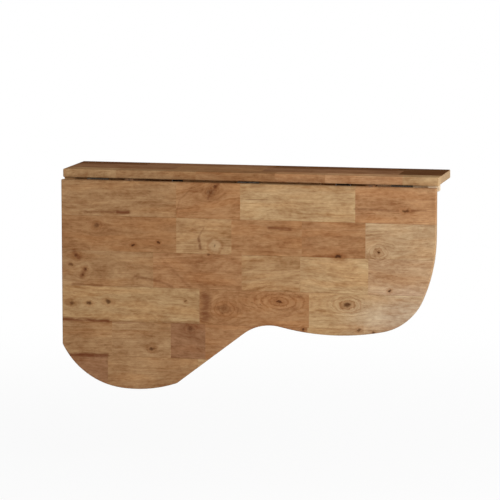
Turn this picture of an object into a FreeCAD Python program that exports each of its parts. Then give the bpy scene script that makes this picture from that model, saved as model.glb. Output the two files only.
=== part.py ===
# Wall mounted drop leaf table: a fixed shelf on a wall frame, a hinged leaf and two folding brackets.
# +X runs right along the wall, +Y into the wall (the wall is the plane y = 0) and +Z up.
# The origin is the centre of the four wall screw holes, on the back of the wall rail.
# The leaf is modelled hanging, with the brackets folded behind it.

import FreeCAD, Part
import math
import os
import re
import Sketcher

Vector = FreeCAD.Vector
Rotation = FreeCAD.Rotation

# Driving sizes in millimetres and degrees
SIZES = {
    # Boards
    "shelf_width": 900,
    "shelf_depth": 180,
    "shelf_thickness": 20,
    "leaf_margin": 2,
    "leaf_thickness": 20,
    "edge_round": 2.5,
    # Leaf outline: the right side, the belly and waist, then the slope, heel and lobe at the left
    "right_edge": 113,
    "side_radius": 380,
    "side_turn": 23.5,
    "corner_radius": 128,
    "belly_radius": 560,
    "waist_radius": 105,
    "slope_length": 204,
    "heel_turn": 17.8,
    "heel_radius": 305,
    "heel_sweep": 25.8,
    "lobe_radius": 183,
    "lobe_sweep": 57.7,
    "lobe_turn": 26.2,
    "left_edge": 393,
    # Wall frame
    "rail_inset": 80,
    "rail_height": 70,
    "rail_thickness": 20,
    "stile_margin": 19,
    "stile_height": 140,
    "stile_round": 12,
    "corbel_inset": 160,
    "bracket_gap": 90,
    "corbel_thickness": 20,
    "corbel_setback": 6,
    "corbel_nose": 24,
    "corbel_toe": 16,
    "corbel_radius": 150,
    "batten_inset": 6,
    "batten_gap": 1.5,
    "batten_depth": 18,
    "batten_height": 14,
    "block_length": 26,
    "block_inset": 0.5,
    "block_setback": 12,
    # Dowels
    "dowel_radius": 4,
    "dowel_length": 30,
    "dowel_play": 0.1,
    "dowel_end_play": 0.5,
    "rail_dowel_inset": 50,
    "stile_dowel_spacing": 40,
    "corbel_dowel_spacing": 30,
    "corbel_shelf_dowel_inset": 30,
    "corbel_shelf_dowel_spacing": 70,
    # Holes for the wall screws
    "wall_hole_radius": 2.75,
    "wall_sink_radius": 5.5,
    "wall_hole_inset": 30,
    "wall_hole_rise": 36,
    "stile_hole_height": 22,
    # Hinges
    "hinge_inset": 86,
    "hinge_length": 50,
    "barrel_radius": 3,
    "hinge_pin_radius": 1.5,
    "pin_play": 0.05,
    "knuckle_gap": 0.3,
    "hinge_reach": 32,
    "hinge_gauge": 1.5,
    "hinge_relief": 0.5,
    "hinge_corner": 3,
    "hinge_screw_spacing": 34,
    "hinge_screw_row": 17,
    "hinge_screw_stagger": 7,
    "pin_head_radius": 2.4,
    "pin_head_length": 1,
    "board_gap": 1,
    # Screws
    "screw_radius": 1.75,
    "screw_head_radius": 3.2,
    "screw_length": 16,
    "screw_point": 3,
    "screw_play": 0.05,
    # Folding brackets
    "plate_gauge": 2,
    "plate_depth": 25,
    "plate_head": 10,
    "plate_foot": 12,
    "plate_round": 7,
    "plate_screw_spacing": 14,
    "plate_screw_drop": 18,
    "plate_screw_rise": 26,
    "pivot_setout": 15,
    "pivot_spacing": 110,
    "side_play": 1,
    "arm_width": 26,
    "arm_gauge": 2,
    "arm_depth": 16,
    "arm_rise": 11,
    "arm_tail": 8,
    "arm_length": 305,
    "arm_round": 5,
    "arm_drop": 4,
    "arm_pin_radius": 4,
    "prop_depth": 9,
    "prop_gauge": 2,
    "prop_standoff": 0.5,
    "prop_seat": 135,
    "prop_pin_radius": 3,
    "bush_wall": 1.5,
    "bush_play": 0.3,
    "head_radius": 5,
    "head_spigot_radius": 2.5,
    "rivet_flange": 2.5,
    "rivet_head": 1.5,
    "catch_height": 2,
    "catch_length": 8,
    "catch_play": 0.6,
    "contact_play": 0.3,
    # Rubber buttons
    "button_radius": 9,
    "button_round": 1.5,
    "button_peg_radius": 3,
    "bumper_peg_length": 12,
    "pad_inset": 20,
}

# Places worked out from the driving sizes; y is negative on the room side of the wall
LEAF_HALF = "(shelf_width / 2 - leaf_margin)"
RAIL_HALF = "(shelf_width / 2 - rail_inset)"
HINGE_X = "(shelf_width / 2 - hinge_inset)"
CORBEL_X = "(shelf_width / 2 - corbel_inset)"
BRACKET_X = f"({CORBEL_X} - bracket_gap)"
UNDERSIDE = "(rail_height / 2)"
RAIL_FOOT = "(-rail_height / 2)"
RAIL_FRONT = "(-rail_thickness)"
HINGE_Y = "(-shelf_depth - board_gap / 2)"
HINGE_Z = f"({UNDERSIDE} - barrel_radius)"
LEAF_BACK = f"({HINGE_Y} - barrel_radius)"
LEAF_TOP = f"({HINGE_Z} - board_gap / 2)"
CORBEL_REACH = "(shelf_depth - corbel_setback - rail_thickness)"
PIVOT_OUT = "(plate_gauge + pivot_setout)"
PIVOT_Z = f"({UNDERSIDE} - arm_drop - arm_rise)"
PROP_OUT = "(plate_gauge + prop_standoff + prop_depth / 2)"
PROP_Z = f"({PIVOT_Z} - pivot_spacing)"
PLATE_WIDTH = "(arm_width + 2 * side_play + 2 * plate_gauge)"
PROP_WIDTH = "(arm_width - 2 * arm_gauge - 2 * side_play)"
SEAT_RISE = "(pivot_spacing + arm_rise - arm_gauge - head_radius - contact_play)"
PROP_LENGTH = f"sqrt((prop_seat + {PIVOT_OUT} - {PROP_OUT}) ^ 2 + {SEAT_RISE} ^ 2)"
SCREW_HEAD = "(screw_head_radius - screw_radius)"
SCREW_ROW_TOP = f"({PIVOT_Z} - plate_screw_drop)"
SCREW_ROW_LOW = f"({PROP_Z} + plate_screw_rise)"
STILE_Z = f"({RAIL_FOOT} - stile_height / 2)"
STILE_WIDTH = f"({PLATE_WIDTH} + 2 * stile_margin)"
STILE_HOLE = f"({PLATE_WIDTH} / 2 + stile_margin / 2)"
KNUCKLES = 5
KNUCKLE = f"((hinge_length - {KNUCKLES - 1} * knuckle_gap) / {KNUCKLES})"
BUMPER_Z = f"({UNDERSIDE} - corbel_nose / 2)"
BATTEN_LENGTH = "(corbel_inset - corbel_thickness / 2 - batten_inset)"
BATTEN_X = f"({CORBEL_X} + corbel_thickness / 2 + {BATTEN_LENGTH} / 2)"
BATTEN_Y = f"({HINGE_Y} + hinge_reach + batten_gap + batten_depth / 2)"
BLOCK_X = "(shelf_width / 2 - block_inset - block_length / 2)"
BLOCK_Y = "(-shelf_depth + block_setback + batten_depth / 2)"

SIDES = {"left": -1, "right": 1}
HINGES = {"left": -1, "middle": 0, "right": 1}

# Turns that stand a local +Z on another axis
ALONG_X = Rotation(Vector(0, 1, 0), 90)
UP = Rotation()
TO_WALL = Rotation(Vector(1, 0, 0), -90)
TO_ROOM = Rotation(Vector(1, 0, 0), 90)
# Half turn about Z, so that a local +Y points into the room
FACING_ROOM = Rotation(Vector(0, 0, 1), 180)

doc = FreeCAD.newDocument("drop_leaf_table")
sheet = doc.addObject("Spreadsheet::Sheet", "Sizes")
for row, (alias, number) in enumerate(SIZES.items(), start=1):
    sheet.set(f"A{row}", alias)
    sheet.set(f"B{row}", str(number))
    sheet.setAlias(f"B{row}", alias)
doc.recompute()

# Finished sub-parts by label
parts = {}


# Sizes and placements

def size(text):
    return float(sheet.evalExpression(text))


def on_sheet(text):
    return re.sub(r"[a-z_]+", lambda word: f"Sizes.{word[0]}" if word[0] in SIZES else word[0], text)


def bind(item, path, text):
    item.setExpression(path, on_sheet(text))


def place(item, x, y, z, turn=UP):
    item.Placement = FreeCAD.Placement(Vector(), turn)
    for axis, text in zip("xyz", (x, y, z)):
        bind(item, f"Placement.Base.{axis}", text)
    return item


def finish(label, item):
    item.Label = label
    parts[label] = item
    return item


# Primitives and groups

def cylinder(radius, length, x, y, z, turn=UP):
    item = doc.addObject("Part::Cylinder", "cylinder")
    bind(item, "Radius", radius)
    bind(item, "Height", length)
    return place(item, x, y, z, turn)


def cone(radius_start, radius_end, length, z):
    item = doc.addObject("Part::Cone", "cone")
    bind(item, "Radius1", radius_start)
    bind(item, "Radius2", radius_end)
    bind(item, "Height", length)
    return place(item, "0", "0", z)


def fused(pieces):
    item = doc.addObject("Part::MultiFuse", "fused")
    item.Shapes = pieces
    return item


def group(label, pieces):
    item = doc.addObject("Part::Compound", label)
    item.Links = pieces
    return finish(label, item)


def screw(x, y, z, turn):
    """Countersunk wood screw, head face at the given place, pointing along the turned +Z."""
    body_length = f"(screw_length - {SCREW_HEAD} - screw_point)"
    head = cone("screw_head_radius", "screw_radius", SCREW_HEAD, "0")
    shank = cylinder("screw_radius", body_length, "0", "0", SCREW_HEAD)
    point = cone("screw_radius", "0", "screw_point", "screw_length - screw_point")
    return place(fused([head, shank, point]), x, y, z, turn)


def rivet(radius, length, x, y, z):
    """Round pin along X with a flat head at each end, centred at the given place."""
    half = f"({length} / 2)"
    shank = cylinder(radius, length, f"-{half}", "0", "0", ALONG_X)
    heads = [
        cylinder(f"{radius} + rivet_flange", "rivet_head", start, "0", "0", ALONG_X)
        for start in (half, f"-{half} - rivet_head")
    ]
    return place(fused([shank, *heads]), x, y, z)


# Sketches and features

def new_body(label):
    return finish(label, doc.addObject("PartDesign::Body", label))


def origin_feature(body, role):
    return next(item for item in body.Origin.OriginFeatures if item.Role == role)


def sketch_on(body, role, lift=None):
    sketch = body.newObject("Sketcher::SketchObject", f"{body.Name}_sketch")
    sketch.AttachmentSupport = [(origin_feature(body, role), "")]
    sketch.MapMode = "FlatFace"
    if lift:
        bind(sketch, "AttachmentOffset.Base.z", lift)
    return sketch


def limit(sketch, kind, *where, text, unit=""):
    """Add a dimension to the sketch and tie it to the sheet."""
    number = math.radians(size(text)) if unit else size(text)
    index = sketch.addConstraint(Sketcher.Constraint(kind, *where, number))
    sketch.setExpression(f"Constraints[{index}]", on_sheet(f"({text}){unit}"))


def fix_point(sketch, edge, end, x, y):
    for kind, axis, text in (("DistanceX", -2, x), ("DistanceY", -1, y)):
        if abs(size(text)) < 1e-9:
            sketch.addConstraint(Sketcher.Constraint("PointOnObject", edge, end, axis))
        else:
            limit(sketch, kind, -1, 1, edge, end, text=text)


def circles(sketch, places, radius):
    for x, y in places:
        middle = Vector(size(x), size(y), 0)
        edge = sketch.addGeometry(Part.Circle(middle, Vector(0, 0, 1), size(radius)))
        fix_point(sketch, edge, 3, x, y)
        limit(sketch, "Radius", edge, text=radius)
    return sketch


def arc_between(start, finish_point, radius, turn):
    """Shorter arc between two points; turn is 1 anticlockwise and -1 clockwise."""
    chord = finish_point - start
    left = Vector(-chord.y, chord.x, 0).normalize()
    rise = math.sqrt(radius ** 2 - (chord.Length / 2) ** 2)
    centre = start + chord / 2 + left * rise * turn
    first, last = (start, finish_point) if turn > 0 else (finish_point, start)
    angles = [math.atan2(point.y - centre.y, point.x - centre.x) for point in (first, last)]
    return Part.ArcOfCircle(Part.Circle(centre, Vector(0, 0, 1), radius), *angles)


def profile(sketch, corners, arcs=None):
    """Closed outline through the corners; arcs gives the radius and turn of a side by its number."""
    arcs = arcs or {}
    points = [Vector(size(x), size(y), 0) for x, y in corners]
    sides = []
    for number, start in enumerate(points):
        end = points[(number + 1) % len(points)]
        if number in arcs:
            radius, turn = arcs[number]
            edge = sketch.addGeometry(arc_between(start, end, size(radius), turn))
            limit(sketch, "Radius", edge, text=radius)
            sides.append((edge, 1, 2) if turn > 0 else (edge, 2, 1))
        else:
            sides.append((sketch.addGeometry(Part.LineSegment(start, end)), 1, 2))
    for number, (edge, first, last) in enumerate(sides):
        following = sides[(number + 1) % len(sides)]
        sketch.addConstraint(Sketcher.Constraint("Coincident", edge, last, following[0], following[1]))
        fix_point(sketch, edge, first, *corners[number])
    return sketch


def rectangle(sketch, width, height):
    """Rectangle centred on the sketch's origin."""
    x, y = f"({width}) / 2", f"({height}) / 2"
    return profile(sketch, [(f"-{x}", f"-{y}"), (x, f"-{y}"), (x, y), (f"-{x}", y)])


def pad(body, sketch, length, both_ways=False):
    feature = body.newObject("PartDesign::Pad", f"{body.Name}_pad")
    feature.Profile = sketch
    feature.SideType = "Symmetric" if both_ways else "One side"
    bind(feature, "Length", length)
    doc.recompute()
    return feature


def check_cut(body, feature, before):
    doc.recompute()
    if not body.Shape.Volume < before - 1e-6:
        raise RuntimeError(f"{feature.Name} cuts nothing")
    return feature


def pocket(body, sketch, depth=None, forward=False):
    """Cut the sketch against its normal, or along it if forward; with no depth, right through both ways."""
    before = body.Shape.Volume
    feature = body.newObject("PartDesign::Pocket", f"{body.Name}_pocket")
    feature.Profile = sketch
    feature.Reversed = forward
    if depth:
        bind(feature, "Length", depth)
    else:
        feature.SideType = "Symmetric"
        feature.Type = "ThroughAll"
    return check_cut(body, feature, before)


def sunk_holes(body, sketch, radius, sink_radius, forward=False):
    """Countersunk through holes at the sketch's circles."""
    before = body.Shape.Volume
    doc.recompute()
    feature = body.newObject("PartDesign::Hole", f"{body.Name}_holes")
    feature.Profile = sketch
    feature.DepthType = "ThroughAll"
    feature.HoleCutType = "Countersink"
    feature.HoleCutCustomValues = True
    feature.HoleCutCountersinkAngle = 90
    feature.Reversed = forward
    bind(feature, "Diameter", f"2 * ({radius})")
    bind(feature, "HoleCutDiameter", f"2 * ({sink_radius})")
    return check_cut(body, feature, before)


def round_edges(body, base, radius, chosen):
    """Fillet the edges of the base feature for which chosen(edge) is true."""
    edges = base.Shape.Edges
    names = [f"Edge{number}" for number, edge in enumerate(edges, start=1) if chosen(edge)]
    feature = body.newObject("PartDesign::Fillet", f"{body.Name}_fillet")
    feature.Base = (base, names)
    bind(feature, "Radius", radius)
    doc.recompute()
    return feature


def runs_along(edge, axis):
    """True for a straight edge parallel to the axis."""
    if edge.Curve.TypeId != "Part::GeomLine":
        return False
    return abs(abs(edge.tangentAt(edge.FirstParameter).dot(axis)) - 1) < 1e-6


def near(value, text):
    return abs(value - size(text)) < 1e-4


def spread(count, spacing):
    """Places of a centred row."""
    return [f"{number - (count - 1) / 2} * {spacing}" for number in range(count)]


# Boards

DOWEL_HOLE = "dowel_radius + dowel_play"
DOWEL_DEPTH = "dowel_length / 2 + dowel_end_play"
PILOT_HOLE = "screw_radius + screw_play"
RAIL_DOWELS = spread(5, f"({RAIL_HALF} - rail_dowel_inset) / 2")
SHELF_CORBEL_DOWELS = [
    "(rail_thickness + corbel_shelf_dowel_inset)",
    "(rail_thickness + corbel_shelf_dowel_inset + corbel_shelf_dowel_spacing)",
]


def hinge_screw_places():
    """Screw centres on a hinge plate: along the barrel, and away from it."""
    outer = [(f"{way} * hinge_screw_spacing / 2", "hinge_screw_row") for way in (-1, 1)]
    return [*outer, ("0", "(hinge_screw_row + hinge_screw_stagger)")]


def shelf_board():
    body = new_body("shelf_board")
    slab = pad(body, rectangle(sketch_on(body, "XY_Plane"), "shelf_width", "shelf_depth"), "shelf_thickness")
    round_edges(body, slab, "min(edge_round; shelf_thickness * 0.4)", lambda edge: True)
    centre_y = "shelf_depth / 2"
    dowels = [(x, f"{centre_y} - rail_thickness / 2") for x in RAIL_DOWELS]
    for way in SIDES.values():
        dowels += [(f"{way} * {CORBEL_X}", f"{centre_y} - {out}") for out in SHELF_CORBEL_DOWELS]
    pocket(body, circles(sketch_on(body, "XY_Plane"), dowels, DOWEL_HOLE), DOWEL_DEPTH, forward=True)
    pilots = []
    for way in HINGES.values():
        for along, away in hinge_screw_places():
            pilots.append((f"{way} * {HINGE_X} + {along}", f"{centre_y} + {HINGE_Y} + {away}"))
    depth = "screw_length - hinge_gauge + dowel_end_play"
    pocket(body, circles(sketch_on(body, "XY_Plane"), pilots, PILOT_HOLE), depth, forward=True)
    place(body, "0", "-shelf_depth / 2", UNDERSIDE)


def toward(angle):
    return Vector(math.cos(math.radians(angle)), math.sin(math.radians(angle)), 0)


def between_circles(first, first_radius, second, second_radius):
    """Upper of the two points at the given distances from two centres."""
    apart = second - first
    along = (apart.Length ** 2 + first_radius ** 2 - second_radius ** 2) / (2 * apart.Length)
    rise = math.sqrt(first_radius ** 2 - along ** 2)
    ahead = apart / apart.Length
    across = Vector(-ahead.y, ahead.x, 0)
    foot = first + ahead * along
    return max(foot + across * rise, foot - across * rise, key=lambda point: point.y)


def leaf_corners():
    """Joint points of the outline, clockwise from the top right corner."""
    half = size(LEAF_HALF)
    corners = {"top_right": Vector(half, 0, 0), "top_left": Vector(-half, 0, 0)}
    # Right side, downwards: the straight edge and the side's arc, up to the corner's circle
    corners["right"] = corners["top_right"] - Vector(0, size("right_edge"), 0)
    side_centre = corners["right"] - Vector(size("side_radius"), 0, 0)
    ahead = toward(-size("side_turn"))
    corners["side"] = side_centre + ahead * size("side_radius")
    corner_centre = corners["side"] - ahead * size("corner_radius")
    # Left side, downwards: the straight edge, the lobe, the heel and the slope, up to the waist's circle
    corners["left"] = corners["top_left"] - Vector(0, size("left_edge"), 0)
    heading = -90 + size("lobe_turn")
    lobe_centre = corners["left"] + toward(heading + 90) * size("lobe_radius")
    heading += size("lobe_sweep")
    corners["lobe"] = lobe_centre + toward(heading - 90) * size("lobe_radius")
    heel_centre = corners["lobe"] + toward(heading + 90) * size("heel_radius")
    heading += size("heel_sweep")
    corners["heel"] = heel_centre + toward(heading - 90) * size("heel_radius")
    heading += size("heel_turn")
    corners["slope"] = corners["heel"] + toward(heading) * size("slope_length")
    waist_centre = corners["slope"] + toward(heading - 90) * size("waist_radius")
    # The belly's circle touches the corner's from outside it and the waist's from beside it
    belly = size("belly_radius")
    belly_centre = between_circles(
        waist_centre, belly + size("waist_radius"), corner_centre, belly - size("corner_radius"),
    )
    for name, centre in (("corner", corner_centre), ("waist", waist_centre)):
        corners[name] = belly_centre + (centre - belly_centre).normalize() * belly
    return corners


def leaf_outline(sketch):
    """Closed loop of the leaf, clockwise from the top right corner."""
    corners = leaf_corners()
    # Each stretch: its end, the names of its radius and sweep or of its length, and its turn
    stretches = [
        ("right", "right_edge", None, 0),
        ("side", "side_radius", "side_turn", -1),
        ("corner", "corner_radius", None, -1),
        ("waist", "belly_radius", None, -1),
        ("slope", "waist_radius", None, 1),
        ("heel", "slope_length", None, 0),
        ("lobe", "heel_radius", "heel_sweep", -1),
        ("left", "lobe_radius", "lobe_sweep", -1),
        ("top_left", "left_edge", None, 0),
        ("top_right", None, None, 0),
    ]
    point = corners["top_right"]
    chain = []
    for name, length, sweep, turn in stretches:
        end = corners[name]
        if turn:
            edge = sketch.addGeometry(arc_between(point, end, size(length), turn))
            limit(sketch, "Radius", edge, text=length)
            if sweep:
                limit(sketch, "Angle", edge, text=sweep, unit=" * 1 deg")
        else:
            edge = sketch.addGeometry(Part.LineSegment(point, end))
            if length:
                limit(sketch, "Distance", edge, text=length)
        chain.append((edge, 2, 1) if turn < 0 else (edge, 1, 2))
        point = end
    # Where two stretches meet at an angle, and the name of that angle
    bends = {"heel": "heel_turn", "left": "lobe_turn", "top_left": None, "top_right": None}
    for number, (edge, first, last) in enumerate(chain):
        following, start, _ = chain[(number + 1) % len(chain)]
        name = stretches[number][0]
        kind = "Coincident" if name in bends else "Tangent"
        sketch.addConstraint(Sketcher.Constraint(kind, edge, last, following, start))
        if bends.get(name):
            bend(sketch, edge, following, last, corners[name], bends[name])
    sketch.addConstraint(Sketcher.Constraint("Vertical", chain[0][0]))
    sketch.addConstraint(Sketcher.Constraint("Vertical", chain[-2][0]))
    fix_point(sketch, chain[0][0], 1, LEAF_HALF, "0")
    fix_point(sketch, chain[-1][0], 1, f"-{LEAF_HALF}", "0")
    return sketch


def bend(sketch, edge, following, end, corner, text):
    """Hold the angle between two stretches at their shared corner."""
    angle = sketch.calculateAngleViaPoint(edge, following, corner.x, corner.y)
    index = sketch.addConstraint(Sketcher.Constraint("AngleViaPoint", edge, following, edge, end, angle))
    degrees = math.degrees(angle)
    nearest = min((0, 180, -180), key=lambda whole: abs(degrees - whole))
    sign = 1 if degrees > nearest else -1
    sketch.setExpression(f"Constraints[{index}]", f"({nearest} + {sign} * Sizes.{text}) * 1 deg")


def drop_leaf():
    body = new_body("drop_leaf")
    slab = pad(body, leaf_outline(sketch_on(body, "XZ_Plane")), "leaf_thickness")
    rounding = "min(edge_round; leaf_thickness * 0.4)"
    round_edges(body, slab, rounding, lambda edge: not runs_along(edge, Vector(0, 1, 0)))
    pilots = []
    for way in HINGES.values():
        for along, away in hinge_screw_places():
            pilots.append((f"{way} * {HINGE_X} + {along}", f"board_gap / 2 - {away}"))
    depth = "screw_length - hinge_gauge + dowel_end_play"
    pocket(body, circles(sketch_on(body, "XZ_Plane"), pilots, PILOT_HOLE), depth, forward=True)
    place(body, "0", LEAF_BACK, LEAF_TOP)


# Wall frame

PLATE_SCREW_COLUMNS = spread(2, "plate_screw_spacing")
PLATE_PILOT_DEPTH = "screw_length - plate_gauge + dowel_end_play"
STILE_DOWELS = spread(2, "stile_dowel_spacing")
CORBEL_DOWELS = spread(2, "corbel_dowel_spacing")


def wall_rail():
    body = new_body("wall_rail")
    outline = rectangle(sketch_on(body, "XZ_Plane"), f"2 * {RAIL_HALF}", "rail_height")
    beam = pad(body, outline, "rail_thickness")
    rounding = "min(edge_round; rail_thickness * 0.4)"
    round_edges(body, beam, rounding, lambda edge: near(edge.BoundBox.YMax, RAIL_FRONT))
    corners = [
        (f"{way} * ({RAIL_HALF} - wall_hole_inset)", z)
        for way in SIDES.values() for z in spread(2, "wall_hole_rise")
    ]
    front = sketch_on(body, "XZ_Plane", "rail_thickness")
    sunk_holes(body, circles(front, corners, "wall_hole_radius"), "wall_hole_radius", "wall_sink_radius")
    on_top = [(x, "-rail_thickness / 2") for x in RAIL_DOWELS]
    top = sketch_on(body, "XY_Plane", UNDERSIDE)
    pocket(body, circles(top, on_top, DOWEL_HOLE), DOWEL_DEPTH)
    below = [
        (f"{way} * {BRACKET_X} + {x}", "-rail_thickness / 2")
        for way in SIDES.values() for x in STILE_DOWELS
    ]
    foot = sketch_on(body, "XY_Plane", RAIL_FOOT)
    pocket(body, circles(foot, below, DOWEL_HOLE), DOWEL_DEPTH, forward=True)
    at_corbels = [(f"{way} * {CORBEL_X}", z) for way in SIDES.values() for z in CORBEL_DOWELS]
    front = sketch_on(body, "XZ_Plane", "rail_thickness")
    pocket(body, circles(front, at_corbels, DOWEL_HOLE), DOWEL_DEPTH)
    at_plates = [
        (f"{way} * {BRACKET_X} + {x}", SCREW_ROW_TOP)
        for way in SIDES.values() for x in PLATE_SCREW_COLUMNS
    ]
    front = sketch_on(body, "XZ_Plane", "rail_thickness")
    pocket(body, circles(front, at_plates, PILOT_HOLE), PLATE_PILOT_DEPTH)


def stile(side, way):
    body = new_body(f"stile_{side}")
    board = pad(body, rectangle(sketch_on(body, "XZ_Plane"), STILE_WIDTH, "stile_height"), "rail_thickness")
    lower = "-stile_height / 2"
    round_edges(
        body, board, "stile_round",
        lambda edge: runs_along(edge, Vector(0, 1, 0)) and near(edge.BoundBox.ZMin, lower),
    )
    on_top = [(x, "-rail_thickness / 2") for x in STILE_DOWELS]
    top = sketch_on(body, "XY_Plane", "stile_height / 2")
    pocket(body, circles(top, on_top, DOWEL_HOLE), DOWEL_DEPTH)
    pilots = [(x, f"{SCREW_ROW_LOW} - {STILE_Z}") for x in PLATE_SCREW_COLUMNS]
    front = sketch_on(body, "XZ_Plane", "rail_thickness")
    pocket(body, circles(front, pilots, PILOT_HOLE), PLATE_PILOT_DEPTH)
    hole = [(f"{way} * {STILE_HOLE}", f"{lower} + stile_hole_height")]
    front = sketch_on(body, "XZ_Plane", "rail_thickness")
    sunk_holes(body, circles(front, hole, "wall_hole_radius"), "wall_hole_radius", "wall_sink_radius")
    place(body, f"{way} * {BRACKET_X}", "0", STILE_Z)


def corbel(side, way):
    """Curved support; its local +Y points into the room from the front of the rail."""
    body = new_body(f"corbel_{side}")
    corners = [
        ("0", UNDERSIDE),
        (CORBEL_REACH, UNDERSIDE),
        (CORBEL_REACH, f"{UNDERSIDE} - corbel_nose"),
        ("corbel_toe", RAIL_FOOT),
        ("0", RAIL_FOOT),
    ]
    outline = profile(sketch_on(body, "YZ_Plane"), corners, {2: ("corbel_radius", 1)})
    pad(body, outline, "corbel_thickness", both_ways=True)
    back = [("0", z) for z in CORBEL_DOWELS]
    pocket(body, circles(sketch_on(body, "XZ_Plane"), back, DOWEL_HOLE), DOWEL_DEPTH)
    on_top = [("0", f"{out} - rail_thickness") for out in SHELF_CORBEL_DOWELS]
    top = sketch_on(body, "XY_Plane", UNDERSIDE)
    pocket(body, circles(top, on_top, DOWEL_HOLE), DOWEL_DEPTH)
    nose = sketch_on(body, "XZ_Plane", f"-{CORBEL_REACH}")
    peg_hole = "button_peg_radius + pin_play"
    peg_depth = "bumper_peg_length + dowel_end_play"
    pocket(body, circles(nose, [("0", BUMPER_Z)], peg_hole), peg_depth, forward=True)
    place(body, f"{way} * {CORBEL_X}", RAIL_FRONT, "0", FACING_ROOM)


def glued_strip(name, length, x, y):
    """Strip glued under the shelf, rounded along its foot."""
    body = new_body(name)
    strip = pad(body, rectangle(sketch_on(body, "XY_Plane"), length, "batten_depth"), "batten_height")
    rounding = "min(edge_round; batten_height * 0.4)"
    round_edges(body, strip, rounding, lambda edge: near(edge.BoundBox.ZMax, "0"))
    place(body, x, y, f"{UNDERSIDE} - batten_height")


def battens():
    """Strips behind the hinge plates that keep the shelf flat, and blocks that close the joint's ends."""
    for side, way in SIDES.items():
        glued_strip(f"batten_{side}", BATTEN_LENGTH, f"{way} * {BATTEN_X}", BATTEN_Y)
        glued_strip(f"end_block_{side}", "block_length", f"{way} * {BLOCK_X}", BLOCK_Y)
    glued_strip("batten_middle", f"(2 * {BRACKET_X} - {STILE_WIDTH})", "0", BATTEN_Y)


def dowel(x, y, z, turn=UP):
    return cylinder("dowel_radius", "dowel_length", x, y, z, turn)


def frame_dowels():
    middle = "-rail_thickness / 2"
    across = f"{UNDERSIDE} - dowel_length / 2"
    group("rail_dowels", [dowel(x, middle, across) for x in RAIL_DOWELS])
    low = f"{RAIL_FOOT} - dowel_length / 2"
    group("stile_dowels", [
        dowel(f"{way} * {BRACKET_X} + {x}", middle, low) for way in SIDES.values() for x in STILE_DOWELS
    ])
    corbel_pins = []
    for way in SIDES.values():
        x = f"{way} * {CORBEL_X}"
        corbel_pins += [dowel(x, f"{RAIL_FRONT} + dowel_length / 2", z, TO_ROOM) for z in CORBEL_DOWELS]
        corbel_pins += [dowel(x, f"-{out}", across) for out in SHELF_CORBEL_DOWELS]
    group("corbel_dowels", corbel_pins)


# Rubber buttons

def button(label, thickness, peg_length):
    """Round button standing on z = 0 with a peg below it."""
    body = new_body(label)
    top = f"({thickness})"
    corners = [
        ("0", f"-({peg_length})"),
        ("button_peg_radius", f"-({peg_length})"),
        ("button_peg_radius", "0"),
        ("button_radius", "0"),
        ("button_radius", f"{top} - button_round"),
        ("button_radius - button_round", top),
        ("0", top),
    ]
    outline = profile(sketch_on(body, "XZ_Plane"), corners, {4: ("button_round", 1)})
    turned = body.newObject("PartDesign::Revolution", f"{label}_turned")
    turned.Profile = outline
    turned.ReferenceAxis = (outline, ["V_Axis"])
    turned.Angle = 360
    doc.recompute()
    return body


def bumper(side, way):
    thickness = f"-{LEAF_BACK} - rail_thickness - {CORBEL_REACH} - contact_play"
    item = button(f"bumper_{side}", thickness, "bumper_peg_length")
    place(item, f"{way} * {CORBEL_X}", f"{RAIL_FRONT} - {CORBEL_REACH}", BUMPER_Z, TO_ROOM)


# Hinges

def hinge_plate(label, knuckles_left_out):
    """Rolled plate about the X axis: its tab runs along +Y and seats on the face at z = barrel_radius."""
    body = new_body(label)
    inner = "(barrel_radius - hinge_gauge)"
    corners = [
        ("0", "barrel_radius"),
        ("hinge_reach", "barrel_radius"),
        ("hinge_reach", inner),
        (f"sqrt(barrel_radius ^ 2 - {inner} ^ 2)", inner),
        ("0", "-barrel_radius"),
        ("-barrel_radius", "0"),
    ]
    rolled = {number: ("barrel_radius", -1) for number in (3, 4, 5)}
    outline = profile(sketch_on(body, "YZ_Plane"), corners, rolled)
    rolled_plate = pad(body, outline, "hinge_length", both_ways=True)
    round_edges(
        body, rolled_plate, "hinge_corner",
        lambda edge: runs_along(edge, Vector(0, 0, 1)) and near(edge.BoundBox.YMax, "hinge_reach"),
    )
    reach = "(barrel_radius + hinge_relief)"
    for number in knuckles_left_out:
        start = f"(-hinge_length / 2 + {number} * ({KNUCKLE} + knuckle_gap) - knuckle_gap)"
        end = f"({start} + {KNUCKLE} + 2 * knuckle_gap)"
        corners = [(start, f"-{reach}"), (end, f"-{reach}"), (end, reach), (start, reach)]
        pocket(body, profile(sketch_on(body, "XY_Plane"), corners))
    pocket(body, circles(sketch_on(body, "YZ_Plane"), [("0", "0")], "hinge_pin_radius + pin_play"))
    under = sketch_on(body, "XY_Plane", inner)
    holes = circles(under, hinge_screw_places(), PILOT_HOLE)
    sunk_holes(body, holes, PILOT_HOLE, "screw_head_radius + screw_play", forward=True)
    return body


def hinge(side, way):
    x = f"{way} * {HINGE_X}"
    place(hinge_plate(f"hinge_{side}_shelf_plate", (1, 3)), x, HINGE_Y, HINGE_Z)
    place(hinge_plate(f"hinge_{side}_leaf_plate", (0, 2, 4)), x, HINGE_Y, HINGE_Z, TO_ROOM * FACING_ROOM)
    half = "hinge_length / 2"
    shank = cylinder("hinge_pin_radius", "hinge_length", f"-{half}", "0", "0", ALONG_X)
    heads = [
        cylinder("pin_head_radius", "pin_head_length", start, "0", "0", ALONG_X)
        for start in (half, f"-{half} - pin_head_length")
    ]
    pin = finish(f"hinge_{side}_pin", fused([shank, *heads]))
    place(pin, x, HINGE_Y, HINGE_Z)


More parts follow.
